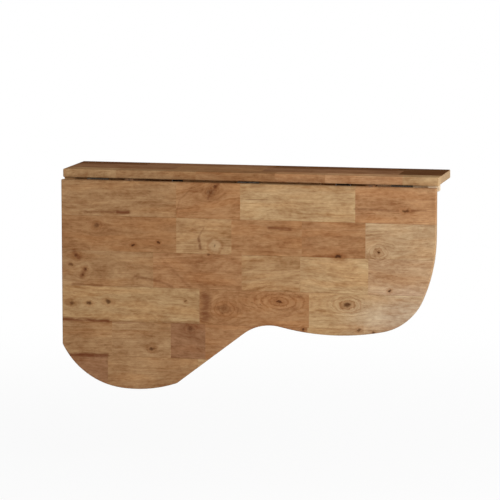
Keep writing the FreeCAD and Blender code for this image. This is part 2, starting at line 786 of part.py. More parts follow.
def hinge_screws():
    in_shelf = []
    in_leaf = []
    for way in HINGES.values():
        for along, away in hinge_screw_places():
            x = f"{way} * {HINGE_X} + {along}"
            seat = "barrel_radius - hinge_gauge"
            in_shelf.append(screw(x, f"{HINGE_Y} + {away}", f"{HINGE_Z} + {seat}", UP))
            in_leaf.append(screw(x, f"{HINGE_Y} - ({seat})", f"{HINGE_Z} - {away}", TO_ROOM))
    group("hinge_shelf_screws", in_shelf)
    group("hinge_leaf_screws", in_leaf)


# Folding brackets, each in a frame whose +Y points into the room from the front of the rail

def channel(body, width, gauge, back, front, web_at_back, foot, height):
    """Folded channel standing along Z from the foot: a web on one side and two flanges."""
    half = f"({width}) / 2"
    inner = f"({half} - {gauge})"
    web, edge = (back, front) if web_at_back else (front, back)
    inside = f"{web} + {gauge}" if web_at_back else f"{web} - {gauge}"
    corners = [
        (f"-{half}", web),
        (half, web),
        (half, edge),
        (inner, edge),
        (inner, inside),
        (f"-{inner}", inside),
        (f"-{inner}", edge),
        (f"-{half}", edge),
    ]
    return pad(body, profile(sketch_on(body, "XY_Plane", foot), corners), height)


def across_at(y_text, *z_texts):
    """Test for edges along X that lie at the given y and at one of the given heights."""
    def chosen(edge):
        box = edge.BoundBox
        return runs_along(edge, Vector(1, 0, 0)) and near(box.YMax, y_text) and any(
            near(box.ZMax, z) for z in z_texts
        )
    return chosen


def wall_plate(label):
    body = new_body(label)
    top, foot = f"({PIVOT_Z} + plate_head)", f"({PROP_Z} - plate_foot)"
    folded = channel(body, PLATE_WIDTH, "plate_gauge", "0", "plate_depth", True, foot, f"{top} - {foot}")
    round_edges(body, folded, "plate_round", across_at("plate_depth", top, foot))
    arm_hole = circles(sketch_on(body, "YZ_Plane"), [(PIVOT_OUT, PIVOT_Z)], "arm_pin_radius + pin_play")
    pocket(body, arm_hole)
    prop_hole = circles(sketch_on(body, "YZ_Plane"), [(PROP_OUT, PROP_Z)], "prop_pin_radius + pin_play")
    pocket(body, prop_hole)
    holes = [(x, z) for x in PLATE_SCREW_COLUMNS for z in (SCREW_ROW_TOP, SCREW_ROW_LOW)]
    face = circles(sketch_on(body, "XZ_Plane", "-plate_gauge"), holes, PILOT_HOLE)
    sunk_holes(body, face, PILOT_HOLE, "screw_head_radius + screw_play", forward=True)
    return body


PAD_REACH = "(arm_length - pad_inset)"
ARM_BACK = "(arm_rise - arm_depth)"


def arm(label):
    """Hanging channel about its pivot; the web faces the room and turns up when the arm is raised."""
    body = new_body(label)
    foot = "-arm_length"
    height = "arm_length + arm_tail"
    folded = channel(body, "arm_width", "arm_gauge", ARM_BACK, "arm_rise", False, foot, height)
    round_edges(body, folded, "arm_round", across_at(ARM_BACK, foot, "arm_tail"))
    pocket(body, circles(sketch_on(body, "YZ_Plane"), [("0", "0")], "arm_pin_radius + pin_play"))
    peg_hole = circles(sketch_on(body, "XZ_Plane"), [("0", f"-{PAD_REACH}")], "button_peg_radius + pin_play")
    pocket(body, peg_hole)
    return body


def catch(label):
    """Lug under the arm's web that stops the prop's head from sliding outwards."""
    body = new_body(label)
    seat = "(arm_rise - arm_gauge)"
    start = "(-prop_seat - head_radius - catch_play)"
    corners = [
        (seat, start),
        (f"{seat} - catch_height", start),
        (f"{seat} - catch_height", f"{start} - catch_length / 2"),
        (seat, f"{start} - catch_length"),
    ]
    width = "(arm_width - 2 * arm_gauge) / 2"
    pad(body, profile(sketch_on(body, "YZ_Plane"), corners), width, both_ways=True)
    return body


def prop(label):
    """Hanging channel with round ends about its pivot, forked at the foot to hold the head bar."""
    body = new_body(label)
    half = "(prop_depth / 2)"
    foot = f"(-{PROP_LENGTH} - {half})"
    corners = [
        (f"-{half}", "0"),
        (f"-{half}", f"-{PROP_LENGTH}"),
        ("0", foot),
        (half, f"-{PROP_LENGTH}"),
        (half, "0"),
        ("0", half),
    ]
    rounds = {number: (half, 1) for number in (1, 2, 4, 5)}
    pad(body, profile(sketch_on(body, "YZ_Plane"), corners, rounds), PROP_WIDTH, both_ways=True)
    inner = f"({PROP_WIDTH} / 2 - prop_gauge)"
    inside, open_side = f"(-{half} + prop_gauge)", f"({half} + contact_play)"
    corners = [(f"-{inner}", inside), (inner, inside), (inner, open_side), (f"-{inner}", open_side)]
    pocket(body, profile(sketch_on(body, "XY_Plane"), corners))
    fork = f"(-{PROP_LENGTH} + head_radius + contact_play)"
    below = f"({foot} - contact_play)"
    corners = [(f"-{inner}", below), (inner, below), (inner, fork), (f"-{inner}", fork)]
    pocket(body, profile(sketch_on(body, "XZ_Plane"), corners))
    pivot = circles(sketch_on(body, "YZ_Plane"), [("0", "0")], "prop_pin_radius + pin_play")
    pocket(body, pivot)
    across = sketch_on(body, "YZ_Plane")
    pocket(body, circles(across, [("0", f"-{PROP_LENGTH}")], "head_spigot_radius + pin_play"))
    return body


def head_bar():
    """Round bar between the prop's forks, with a spigot in each."""
    length = f"({PROP_WIDTH} - 2 * prop_gauge - 2 * pin_play)"
    bar = cylinder("head_radius", length, f"-{length} / 2", "0", "0", ALONG_X)
    spigots = cylinder("head_spigot_radius", PROP_WIDTH, f"-{PROP_WIDTH} / 2", "0", "0", ALONG_X)
    return fused([bar, spigots])


def bush(length, x, y, z):
    outer = cylinder("prop_pin_radius + bush_wall", length, "0", "0", "0", ALONG_X)
    bore = cylinder("prop_pin_radius + pin_play", length, "0", "0", "0", ALONG_X)
    ring = doc.addObject("Part::Cut", "bush")
    ring.Base = outer
    ring.Tool = bore
    return place(ring, x, y, z)


def bracket(side, way):
    x = f"{way} * {BRACKET_X}"
    pivot_y = f"({RAIL_FRONT} - {PIVOT_OUT})"
    prop_y = f"({RAIL_FRONT} - {PROP_OUT})"
    name = f"bracket_{side}"
    place(wall_plate(f"{name}_wall_plate"), x, RAIL_FRONT, "0", FACING_ROOM)
    place(arm(f"{name}_arm"), x, pivot_y, PIVOT_Z, FACING_ROOM)
    place(catch(f"{name}_catch"), x, pivot_y, PIVOT_Z, FACING_ROOM)
    tip_pad = button(f"{name}_tip_pad", "arm_drop - contact_play", "arm_gauge + button_round")
    place(tip_pad, x, f"{pivot_y} - arm_rise", f"{PIVOT_Z} - {PAD_REACH}", TO_ROOM)
    finish(f"{name}_arm_pin", rivet("arm_pin_radius", PLATE_WIDTH, x, pivot_y, PIVOT_Z))
    place(prop(f"{name}_prop"), x, prop_y, PROP_Z, FACING_ROOM)
    head = finish(f"{name}_prop_head", head_bar())
    place(head, x, prop_y, f"{PROP_Z} - {PROP_LENGTH}")
    finish(f"{name}_prop_pin", rivet("prop_pin_radius", PLATE_WIDTH, x, prop_y, PROP_Z))
    gap = f"({PLATE_WIDTH} / 2 - plate_gauge - {PROP_WIDTH} / 2)"
    length = f"({gap} - bush_play)"
    bushes = [
        bush(length, f"{x} + {start}", prop_y, PROP_Z)
        for start in (f"{PROP_WIDTH} / 2 + bush_play", f"(-{PLATE_WIDTH} / 2 + plate_gauge)")
    ]
    group(f"{name}_prop_bushes", bushes)
    seat_y = f"{RAIL_FRONT} - plate_gauge"
    group(f"{name}_plate_screws", [
        screw(f"{x} + {column}", seat_y, row, TO_WALL)
        for column in PLATE_SCREW_COLUMNS for row in (SCREW_ROW_TOP, SCREW_ROW_LOW)
    ])


# Build every sub-part

shelf_board()
drop_leaf()
wall_rail()
for side, way in SIDES.items():
    stile(side, way)
    corbel(side, way)
    bumper(side, way)
    bracket(side, way)
battens()
frame_dowels()
for side, way in HINGES.items():
    hinge(side, way)
hinge_screws()
doc.recompute()

# Check and export

for item in doc.Objects:
    if "Invalid" in item.State or "Error" in item.State:
        raise RuntimeError(f"{item.Label} did not recompute: {item.State}")
os.makedirs("parts", exist_ok=True)
for label, item in sorted(parts.items()):
    shape = item.Shape
    if shape.isNull() or not shape.isValid():
        raise RuntimeError(f"{label} has no valid shape")
    shape.exportStep(f"parts/{label}.step")
    print(f"{label}: {len(shape.Solids)} solid(s), {shape.Volume:.0f} cubic millimetres")
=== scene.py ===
# %% [markdown]
# A wall mounted drop leaf table: a narrow shelf on a wooden wall frame, and a leaf that hangs from it on
# three hinges, with two folding brackets behind. The CAD model already holds every board, hinge and
# bracket at its real size, so this lesson is about finishes: edge-glued hardwood with its staves, grain
# and knots, then plated steel, powder coat and rubber, and last the screws, which reward a close look.
# The first cell loads the CAD parts.

import math

import bmesh
import bpy
from mathutils import Matrix, Vector


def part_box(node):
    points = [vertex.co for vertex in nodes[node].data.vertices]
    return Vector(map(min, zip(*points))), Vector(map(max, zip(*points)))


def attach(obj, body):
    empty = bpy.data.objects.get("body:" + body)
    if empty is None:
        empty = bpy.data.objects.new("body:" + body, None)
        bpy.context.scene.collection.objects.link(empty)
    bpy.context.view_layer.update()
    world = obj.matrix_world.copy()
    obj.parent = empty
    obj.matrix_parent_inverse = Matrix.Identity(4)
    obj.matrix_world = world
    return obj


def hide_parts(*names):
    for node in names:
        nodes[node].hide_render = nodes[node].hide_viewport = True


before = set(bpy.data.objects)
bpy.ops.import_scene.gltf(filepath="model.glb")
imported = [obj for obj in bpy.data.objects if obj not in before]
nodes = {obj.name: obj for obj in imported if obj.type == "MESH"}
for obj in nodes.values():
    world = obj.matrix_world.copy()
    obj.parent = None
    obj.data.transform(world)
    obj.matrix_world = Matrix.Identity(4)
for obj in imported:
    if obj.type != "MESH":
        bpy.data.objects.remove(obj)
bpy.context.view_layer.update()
MM = 0.001

# %% [markdown]
# The camera stands well back and a little to the right, with a long lens, so the boards' edges stay
# almost parallel. A constraint could turn it towards the table. Working the turn out once is as short,
# and the lamps can use it too: a camera looks along its own -Z, so its turn comes from the direction to
# where it stands.

# %% Camera
AIM = Vector((-13.3, -100, -137.4)) * MM
CAMERA_AZIMUTH = 12.48
CAMERA_HEIGHT = 7.72
CAMERA_DISTANCE = 7.0
CAMERA_REACH = 50
LENS = 212.3


def direction(azimuth, height):
    """Unit vector from the table towards a place in the room; degrees to the right and upwards."""
    turn, lift = math.radians(azimuth), math.radians(height)
    return Vector((math.sin(turn) * math.cos(lift), -math.cos(turn) * math.cos(lift), math.sin(lift)))


def aim_at_table(item, azimuth, height, distance):
    """Stand a camera or lamp in that direction, looking at the table."""
    away = direction(azimuth, height)
    item.location = AIM + away * distance
    item.rotation_mode = "QUATERNION"
    item.rotation_quaternion = (-away).to_track_quat("-Z", "Y")
    bpy.context.collection.objects.link(item)


camera_data = bpy.data.cameras.new("camera")
camera_data.lens = LENS
camera_data.clip_end = CAMERA_REACH
camera = bpy.data.objects.new("camera", camera_data)
aim_at_table(camera, CAMERA_AZIMUTH, CAMERA_HEIGHT, CAMERA_DISTANCE)
bpy.context.scene.camera = camera
print("camera at", tuple(round(c, 2) for c in camera.location))

# %% [markdown]
# Materials are node trees. Drawing one by hand takes many clicks, and writing one takes many lines, so
# small helpers do the wiring: one adds a node and fills or links its inputs, and the others make the few
# kinds of node that wood needs again and again.

# %% Helpers for node trees
def fill(tree, made, inputs):
    """Give a node its inputs: a socket is linked, and any other value is typed in."""
    for key, value in inputs.items():
        if isinstance(value, bpy.types.NodeSocket):
            tree.links.new(value, made.inputs[key])
        else:
            made.inputs[key].default_value = value


def add(tree, kind, inputs=None, **settings):
    """Add a node with its settings and inputs."""
    made = tree.nodes.new(f"ShaderNode{kind}")
    for name, value in settings.items():
        setattr(made, name, value)
    fill(tree, made, inputs or {})
    return made


def calc(tree, operation, *values):
    return add(tree, "Math", dict(enumerate(values)), operation=operation).outputs[0]


def vector(tree, *values):
    return add(tree, "CombineXYZ", dict(enumerate(values))).outputs[0]


def vector_calc(tree, operation, first, second, output="Vector"):
    """Result of a Vector Math node; a length or a product comes out as its Value."""
    return add(tree, "VectorMath", {0: first, 1: second}, operation=operation).outputs[output]


def mix(tree, factor, first, second, blend="MIX"):
    """Blend of two colours, which are sockets 6 and 7 of the node."""
    inputs = {0: factor, 6: first, 7: second}
    return add(tree, "Mix", inputs, data_type="RGBA", blend_type=blend).outputs[2]


def tint(tree, factor, colour, shade):
    """Colour multiplied by a shade, as far as the factor says."""
    return mix(tree, factor, colour, shade, "MULTIPLY")


def fade(tree, value, low, high, start=0.0, end=1.0):
    """Smooth step from start to end while the value goes from low to high.

    The step keeps to its ends without the node's own clamp. A clamp for every mark would fill the memory
    that one shader has, and the board would turn black.
    """
    inputs = {"Value": value, 1: low, 2: high, 3: start, 4: end}
    return add(tree, "MapRange", inputs, interpolation_type="SMOOTHSTEP", clamp=False).outputs[0]


def noise(tree, place, detail=2.0, roughness=0.5, scale=1.0):
    inputs = {"Vector": place, "Scale": scale, "Detail": detail, "Roughness": roughness}
    return add(tree, "TexNoise", inputs).outputs["Fac"]


def weighted(tree, *pairs):
    """Sum of values, each times its weight."""
    total = 0.0
    for value, weight in pairs:
        total = calc(tree, "MULTIPLY_ADD", value, weight, total)
    return total


NODE_HELPERS = (fill, add, calc, vector, vector_calc, mix, tint, fade, noise, weighted)
print(len(NODE_HELPERS), "node helpers")

# %% [markdown]
# A group is a small tree with named inputs and outputs that other trees can use like one node. Wood uses
# three: a knot, a bark streak and the grain itself. The nodes could be copied for every knot instead, but
# a group is mended in one place. Colours are written as they look on a screen, 0 to 255, and turned into
# the linear values that shaders work with.

# %% Helpers for groups and colours
COLOUR_SOCKETS = ("Tone", "Colour")


def new_group(name, inputs, outputs):
    """Empty group, its inputs and its outputs; the colour sockets carry colours and the others numbers."""
    tree = bpy.data.node_groups.new(name, "ShaderNodeTree")
    for way, names in (("INPUT", inputs), ("OUTPUT", outputs)):
        for socket in names:
            kind = "Color" if socket in COLOUR_SOCKETS else "Float"
            tree.interface.new_socket(socket, in_out=way, socket_type=f"NodeSocket{kind}")
    return tree, tree.nodes.new("NodeGroupInput").outputs, tree.nodes.new("NodeGroupOutput").inputs


def use_group(tree, group, inputs):
    """Put a group into a tree; returns its outputs."""
    made = tree.nodes.new("ShaderNodeGroup")
    made.node_tree = group
    fill(tree, made, inputs)
    return made.outputs


def screen(red, green, blue):
    """Linear colour for a screen colour, by the sRGB curve."""
    def channel(value):
        value /= 255
        return value / 12.92 if value <= 0.04045 else ((value + 0.055) / 1.055) ** 2.4
    return (channel(red), channel(green), channel(blue), 1.0)


def new_material(name):
    """Empty material, its tree and its shader."""
    material = bpy.data.materials.new(name)
    material.use_nodes = True
    tree = material.node_tree
    return material, tree, tree.nodes["Principled BSDF"]


print("a grey of 128 on the screen is", round(screen(128, 128, 128)[0], 3), "in a shader")

# %% [markdown]
# The boards are edge-glued hardwood: short staves of one width, laid in rows and butted end to end. Each
# stave was cut from another log, so it has its own tone and grain. A layout is written like a cutting
# list, row by row, each stave with a tone's name and its length in millimetres. A colour ramp with
# constant steps turns a row into colours along the board. A texture image could do this too, but would
# not scale or rework.

# %% Tones and cutting lists
TONES = {
    # Painted light: a pale tone for the strip that lies in the joint's shadow
    "painted_light_maple": screen(222, 200, 168),
    "cream": screen(171, 140, 105),
    "pale": screen(171, 138, 99),
    "biscuit": screen(170, 136, 102),
    "sand": screen(164, 130, 91),
    "honey": screen(162, 126, 88),
    "apricot": screen(174, 132, 94),
    "peach": screen(164, 122, 85),
    "oat": screen(156, 120, 84),
    "tan": screen(153, 116, 80),
    "rose": screen(156, 114, 77),
    "russet": screen(154, 112, 76),
    "chestnut": screen(149, 108, 72),
    "umber": screen(140, 100, 70),
    # The next two tones are painted shade on the shelf's top
    "walnut_painted_shade": screen(112, 74, 47),
    "mocha_painted_shade": screen(104, 70, 44),
}
STAVE_WIDTH = 83.5 * MM
# From the hinge side downwards
LEAF_STAVES = [
    [("tan", 277), ("rose", 155), ("pale", 272), ("peach", 192)],
    [("chestnut", 277), ("honey", 134), ("rose", 167), ("russet", 153), ("cream", 165)],
    [("tan", 222), ("russet", 215), ("honey", 138), ("pale", 161), ("biscuit", 160)],
    [("sand", 335), ("rose", 262), ("pale", 299)],
    [("tan", 122), ("oat", 141), ("umber", 84), ("russet", 245), ("sand", 304)],
    [("umber", 110), ("tan", 220), ("honey", 566)],
]
# From the front edge to the wall; the first row was ripped narrower. The dark back rows and the dark
# staves at the right end are painted shade, darkening the shelf's top towards the wall and at its right end
SHELF_FIRST_ROW = 42 * MM
SHELF_STAVES = [
    [("honey", 130), ("tan", 190), ("chestnut", 190), ("peach", 120), ("apricot", 185), ("pale", 85)],
    [("umber", 260), ("russet", 210), ("umber", 325), ("mocha_painted_shade", 105)],
    [("walnut_painted_shade", 170), ("umber", 310), ("walnut_painted_shade", 300), ("mocha_painted_shade", 120)],
]


def row_colours(tree, share, staves):
    """Constant ramp over one row of staves; the share goes from 0 at the left end to 1 at the right."""
    ramp = add(tree, "ValToRGB", {0: share})
    ramp.color_ramp.interpolation = "CONSTANT"
    steps = ramp.color_ramp.elements
    ready = len(steps)
    length = sum(stave for _, stave in staves)
    start = 0
    for number, (tone, stave) in enumerate(staves):
        step = steps[number] if number < ready else steps.new(1.0)
        step.position = start / length
        step.color = TONES[tone]
        start += stave
    return ramp.outputs[0]


def stave_tones(tree, share, across, rows):
    """Tone of the stave at a place on the board, and the number of its row."""
    row = calc(tree, "FLOOR", calc(tree, "DIVIDE", across, STAVE_WIDTH))
    tone = row_colours(tree, share, rows[0])
    for number, staves in enumerate(rows[1:], start=1):
        reached = calc(tree, "GREATER_THAN", row, number - 0.5)
        tone = mix(tree, reached, tone, row_colours(tree, share, staves))
    return tone, row


print(sum(map(len, LEAF_STAVES)), "staves in the leaf,", sum(map(len, SHELF_STAVES)), "in the shelf")

# %% [markdown]
# A knot is where a branch grew: a dark eye, a ruddy halo with rings in it, and grain that swings round
# it. Knots could be painted, but then each would have to be painted again on another board. This group
# takes a place on the board and the knot's own place and size, and gives back how dark the eye and the
# halo are there, how strong the rings, and how far the grain is pushed aside.

# %% Knot group
RING_SPACING = 8 * MM
RING_STRENGTH = 0.7
RING_LOSS = -0.6  # in a fully dark knot
GRAIN_SWING = -0.7
# Where the marks fade out, in radii of the knot
EYE_FADE = (0.3, 1.1)
HALO_FADE = (0.4, 2.8)
RING_FADE = (0.8, 3.6)
SWING_FADE = (0.2, 4.5)


def distance(tree, first, second):
    """Length of the long side of a right triangle."""
    squares = [calc(tree, "MULTIPLY", side, side) for side in (first, second)]
    return calc(tree, "SQRT", calc(tree, "ADD", *squares))


def make_knot():
    tree, given, result = new_group(
        "knot", ("Along", "Across", "Middle", "Down", "Radius", "Stretch", "Darkness"),
        ("Eye", "Halo", "Rings", "Push"),
    )
    side = calc(tree, "DIVIDE", calc(tree, "SUBTRACT", given["Along"], given["Middle"]), given["Stretch"])
    rise = calc(tree, "SUBTRACT", given["Across"], given["Down"])
    reach = calc(tree, "DIVIDE", distance(tree, side, rise), given["Radius"])
    for mark, limits in (("Eye", EYE_FADE), ("Halo", HALO_FADE)):
        near = fade(tree, reach, *limits, 1.0, 0.0)
        tree.links.new(calc(tree, "MULTIPLY", near, given["Darkness"]), result[mark])
    rings_out = calc(tree, "MULTIPLY", given["Radius"], 2 * math.pi / RING_SPACING)
    wave = calc(tree, "SINE", calc(tree, "MULTIPLY", reach, rings_out))
    clear = calc(tree, "MULTIPLY_ADD", given["Darkness"], RING_LOSS, RING_STRENGTH)
    faded = calc(tree, "MULTIPLY", clear, fade(tree, reach, *RING_FADE, 1.0, 0.0))
    tree.links.new(calc(tree, "MULTIPLY", wave, faded), result["Rings"])
    swing = calc(tree, "MULTIPLY", rise, fade(tree, reach, *SWING_FADE, GRAIN_SWING, 0.0))
    tree.links.new(swing, result["Push"])
    return tree


knot = make_knot()
# Knots in the leaf, in millimetres: from the middle, down, radius, then stretch along the grain, darkness
LEAF_KNOTS = [
    (-361, 107, 8, 1.2, 0.5), (-272, 151, 4, 1.2, 1.0), (-211, 143, 3.2, 1.3, 0.9),
    (-89, 168, 3.6, 1.2, 0.6), (-412, 180, 6, 1.2, 0.7), (-426, 202, 4.5, 1.2, 0.6),
    (-390, 213, 5.5, 1.0, 0.8), (-397, 226, 5, 0.9, 0.7), (-424, 294, 5.5, 1.4, 0.6),
    (-382, 293, 4.5, 1.9, 0.8), (-334, 288, 5.2, 1.7, 0.8), (-146, 281, 4, 1.2, 0.6),
    (-52, 296, 15, 1.3, 0.3), (79, 274, 15, 2.3, 0.1), (79, 274, 4.5, 2.0, 0.8),
    (220, 164, 4.4, 2.6, 1.0), (314, 152, 5, 0.9, 1.0), (314, 152, 10, 1.2, 0.1),
    (377, 53, 4, 2.8, 0.8), (341, 242, 3.8, 1.2, 0.9), (241, 276, 6, 1.8, 0.8),
    (241, 276, 11, 1.8, 0.1), (270, 336, 5, 1.1, 0.7), (-229, 397, 6, 1.2, 0.8),
    (-134, 346, 7, 1.5, 0.4), (-74, 8, 6, 1.0, 0.7), (-85, 20, 10, 1.2, 0.4),
    (138, 338, 4, 1.0, 0.9), (305, 339, 3.5, 1.2, 0.8),
]
print(len(LEAF_KNOTS), "knots in the leaf")

# %% [markdown]
# A bark streak is a dark thread in the wood where bark or gum was grown over. A stretched noise would
# scatter threads anywhere. Here each is drawn as the distance to a short line between two points, so it
# lies where it is wanted, and a crooked streak is a chain of lines.

# %% Streak group
STREAK_INPUTS = ("Start along", "Start across", "End along", "End across", "Width")
STREAK_FADE = (0.1, 1.2)  # in half widths


def make_streak():
    tree, given, result = new_group("streak", ("Along", "Across", *STREAK_INPUTS, "Darkness"), ("Dark",))
    place = vector(tree, given["Along"], given["Across"])
    start = vector(tree, given["Start along"], given["Start across"])
    end = vector(tree, given["End along"], given["End across"])
    leg = vector_calc(tree, "SUBTRACT", end, start)
    offset = vector_calc(tree, "SUBTRACT", place, start)
    reached = vector_calc(tree, "DOT_PRODUCT", offset, leg, "Value")
    whole = vector_calc(tree, "DOT_PRODUCT", leg, leg, "Value")
    share = calc(tree, "MINIMUM", calc(tree, "MAXIMUM", calc(tree, "DIVIDE", reached, whole), 0.0), 1.0)
    nearest = add(tree, "VectorMath", {0: leg, "Scale": share}, operation="SCALE").outputs[0]
    away = vector_calc(tree, "DISTANCE", offset, nearest, "Value")
    thin = calc(tree, "DIVIDE", away, given["Width"])
    dark = calc(tree, "MULTIPLY", fade(tree, thin, *STREAK_FADE, 1.0, 0.0), given["Darkness"])
    tree.links.new(dark, result["Dark"])
    return tree


streak = make_streak()
# Streaks in the leaf, in millimetres: along and down at each end, half the width, then the darkness
LEAF_STREAKS = [
    (-66, 2, -80, 16, 4, 0.6), (-80, 16, -92, 38, 3.5, 0.5), (-170, 77, -158, 40, 3, 0.3),
    (-158, 40, -130, 11, 3, 0.3), (0, 36, 50, 36, 2.5, 0.35), (10, 4, 60, 5, 7, 0.3),
    (-390, 75, -306, 74, 4, 0.6), (-310, 74, -284, 73, 6.5, 1.0),
    (-102, 106, -114, 128, 3, 0.5), (-114, 131, -109, 154, 5, 0.75), (-128, 110, -100, 102, 3, 0.35),
    (-388, 205, -400, 232, 7, 0.5), (-418, 170, -404, 186, 6, 0.5),
    (-269, 226, -226, 232, 4.5, 0.5), (-226, 232, -178, 246, 4.5, 0.5), (-205, 180, -120, 262, 5, 0.25),
    (54, 101, 106, 103, 5, 0.8), (258, 51, 360, 53, 4, 0.6), (392, 52, 424, 51, 4, 0.5),
    (160, 165, 206, 164, 4, 0.4), (-450, 333, -335, 334, 7, 1.0), (-440, 418, -338, 417, 7, 1.0),
    (-97, 269, -98, 315, 18, 0.8), (-330, 335, -250, 333, 5, 0.4), (-420, 248, -350, 250, 5, 0.5),
    (-200, 334, -114, 332, 5, 0.4),
]
print(len(LEAF_STREAKS), "streaks in the leaf")

# %% [markdown]
# Grain is made of growth rings and fibres. A wave texture makes rings too, but as even as print. Here
# they are bands of the distance to a log's heart that lies off the stave, and where the board cuts them
# slantwise they open into arches. Each stave has a seed that shifts its heart, its slope and all its
# noises, so that no grain line crosses a glue joint.

# %% Growth rings
RINGS_PER_METRE = 95.0
# Noise that lets the rings come and go: scales along and across, and the range that counts
RING_WEIGHT_SCALES = (7.0, 45.0)
RING_WEIGHT_RANGE = (0.4, 0.65)
# Shift by the seed, slopes and slow sway of a stave's grain
SEED_SHIFT = 9.7
SLOPE_ALONG = 0.8
SLOPE_THROUGH = 0.8
SWAY = 30 * MM
SWAY_SCALES = (5.0, 18.0)
# Where the log's heart lies beside the stave, and how it bows
HEART_SPIN = 17.3
HEART_SPREAD = 140 * MM
HEART_DEPTH = 35 * MM
HEART_BOW = 22 * MM
BOWS = 6.0


def stretched(tree, along, across, third, scales, **settings):
    """Noise with its own scale along and across the grain."""
    place = vector(
        tree, calc(tree, "MULTIPLY", along, scales[0]), calc(tree, "MULTIPLY", across, scales[1]), third,
    )
    return noise(tree, place, **settings)


def stave_place(tree, given):
    """Along, across and through, shifted and tilted by the stave's seed, with a slow sway."""
    seed = given["Seed"]
    shift = calc(tree, "MULTIPLY", seed, SEED_SHIFT)
    cubed = calc(tree, "POWER", calc(tree, "SUBTRACT", seed, 0.5), 3.0)
    lean = calc(tree, "MULTIPLY", cubed, SLOPE_ALONG)
    along = calc(tree, "ADD", given["Along"], shift)
    across = calc(tree, "MULTIPLY_ADD", given["Along"], lean, given["Across"])
    across = calc(tree, "MULTIPLY_ADD", given["Through"], SLOPE_THROUGH, across)
    sway = stretched(tree, along, across, shift, SWAY_SCALES, detail=3.0)
    sway = calc(tree, "MULTIPLY", calc(tree, "SUBTRACT", sway, 0.5), SWAY)
    return along, calc(tree, "ADD", across, sway), calc(tree, "ADD", given["Through"], shift), shift


def growth_rings(tree, seed, along, across):
    """Share of pale wood, from 0 in the middle of a dark band to 1; the bands come and go."""
    spun = calc(tree, "FRACT", calc(tree, "MULTIPLY", seed, HEART_SPIN))
    heart = calc(tree, "MULTIPLY", calc(tree, "SUBTRACT", spun, 0.5), HEART_SPREAD)
    height = calc(tree, "ADD", across, heart)
    bow = calc(tree, "MULTIPLY", calc(tree, "SINE", calc(tree, "MULTIPLY", along, BOWS)), HEART_BOW)
    ring = distance(tree, height, calc(tree, "ADD", bow, HEART_DEPTH))
    band = calc(tree, "SINE", calc(tree, "MULTIPLY", ring, RINGS_PER_METRE * 2 * math.pi))
    strength = fade(tree, stretched(tree, along, across, seed, RING_WEIGHT_SCALES), *RING_WEIGHT_RANGE)
    return calc(tree, "MULTIPLY_ADD", calc(tree, "MULTIPLY", band, strength), 0.5, 0.5)


print("rings about", round(1000 / RINGS_PER_METRE, 1), "mm apart")

# %% [markdown]
# Fibres are noise stretched along the grain: fine ones give the silk, broader ones the veins and flecks,
# and very fine dark dashes are the pores. Slow noises let the tone drift and turn redder in patches. The
# result could be a ramp of fixed browns. Here it multiplies the stave's own tone, evenly to both sides,
# so a repaint only changes the tones.

# %% Light and dark wood
# Scales of each noise along and across the grain, per metre, then the range that counts and its share
VEIN_SCALES, VEIN_RANGE, VEIN_SHARE = (9.0, 80.0), (0.25, 0.75), 0.18
DRIFT_SCALES, DRIFT_RANGE, DRIFT_SHARE = (14.0, 34.0), (0.32, 0.68), 0.28
CURL_SCALES, CURL_RANGE, CURL_SHARE = (70.0, 170.0), (0.32, 0.68), 0.22
FIBRE_SCALES, FIBRE_RANGE, FIBRE_SHARE = (12.0, 420.0), (0.3, 0.7), 0.18
RINGS_SHARE = 0.14


def lightness(tree, given, along, across, shift, fibre):
    """How light the wood is at a place, about 0.5 on average."""
    vein = stretched(tree, along, across, shift, VEIN_SCALES, detail=5.0, roughness=0.7)
    drift = stretched(tree, along, across, shift, DRIFT_SCALES, detail=5.0, roughness=0.6)
    curl = stretched(tree, along, across, given["Through"], CURL_SCALES, detail=4.0, roughness=0.65)
    rings = growth_rings(tree, given["Seed"], along, across)
    return weighted(
        tree, (rings, RINGS_SHARE), (fade(tree, fibre, *FIBRE_RANGE), FIBRE_SHARE),
        (fade(tree, vein, *VEIN_RANGE), VEIN_SHARE), (fade(tree, drift, *DRIFT_RANGE), DRIFT_SHARE),
        (fade(tree, curl, *CURL_RANGE), CURL_SHARE),
    )


shares = (RINGS_SHARE, FIBRE_SHARE, VEIN_SHARE, DRIFT_SHARE, CURL_SHARE)
print("the shares add up to", round(sum(shares), 2))

# %% [markdown]
# The grain group puts it all together. It takes a place in the board, the stave's seed and tone, and how
# far the surface is end grain. It gives back the colour, the roughness and the height of the surface.
# These could come from noises of their own. Here they share the fibres and pores, so that what looks dark
# also lies deep.

# %% Grain group
# Shades that multiply the tone
DARK_WOOD = (0.51, 0.325, 0.203, 1.0)
BRIGHT_WOOD = (1.47, 1.67, 1.82, 1.0)
RUDDY = (1.05, 0.95, 0.86, 1.0)
FLECK = screen(186, 156, 136)
PORE = screen(140, 112, 96)
# Scales, range and share of their noises, as above
RUDDY_SCALES, RUDDY_RANGE, RUDDY_SHARE = (7.0, 38.0), (0.42, 0.7), 0.7
FLECK_SCALES, FLECK_RANGE, FLECK_SHARE = (34.0, 330.0), (0.6, 0.72), 0.35
PORE_SCALES, PORE_RANGE, PORE_SHARE = (90.0, 1600.0), (0.62, 0.74), 0.45
# Mixed in on end grain; on the shelf's right end this pale colour is also painted light
END_GRAIN_AND_LIGHT = screen(190, 162, 128)
END_SHARE = 0.7
DEPTH_SCALE = 260.0
WOOD_ROUGHNESS = 0.42
FIBRE_ROUGHNESS = 0.14
END_ROUGHNESS = 0.15
FIBRE_HEIGHT = 0.35
PORE_HEIGHT = -0.8


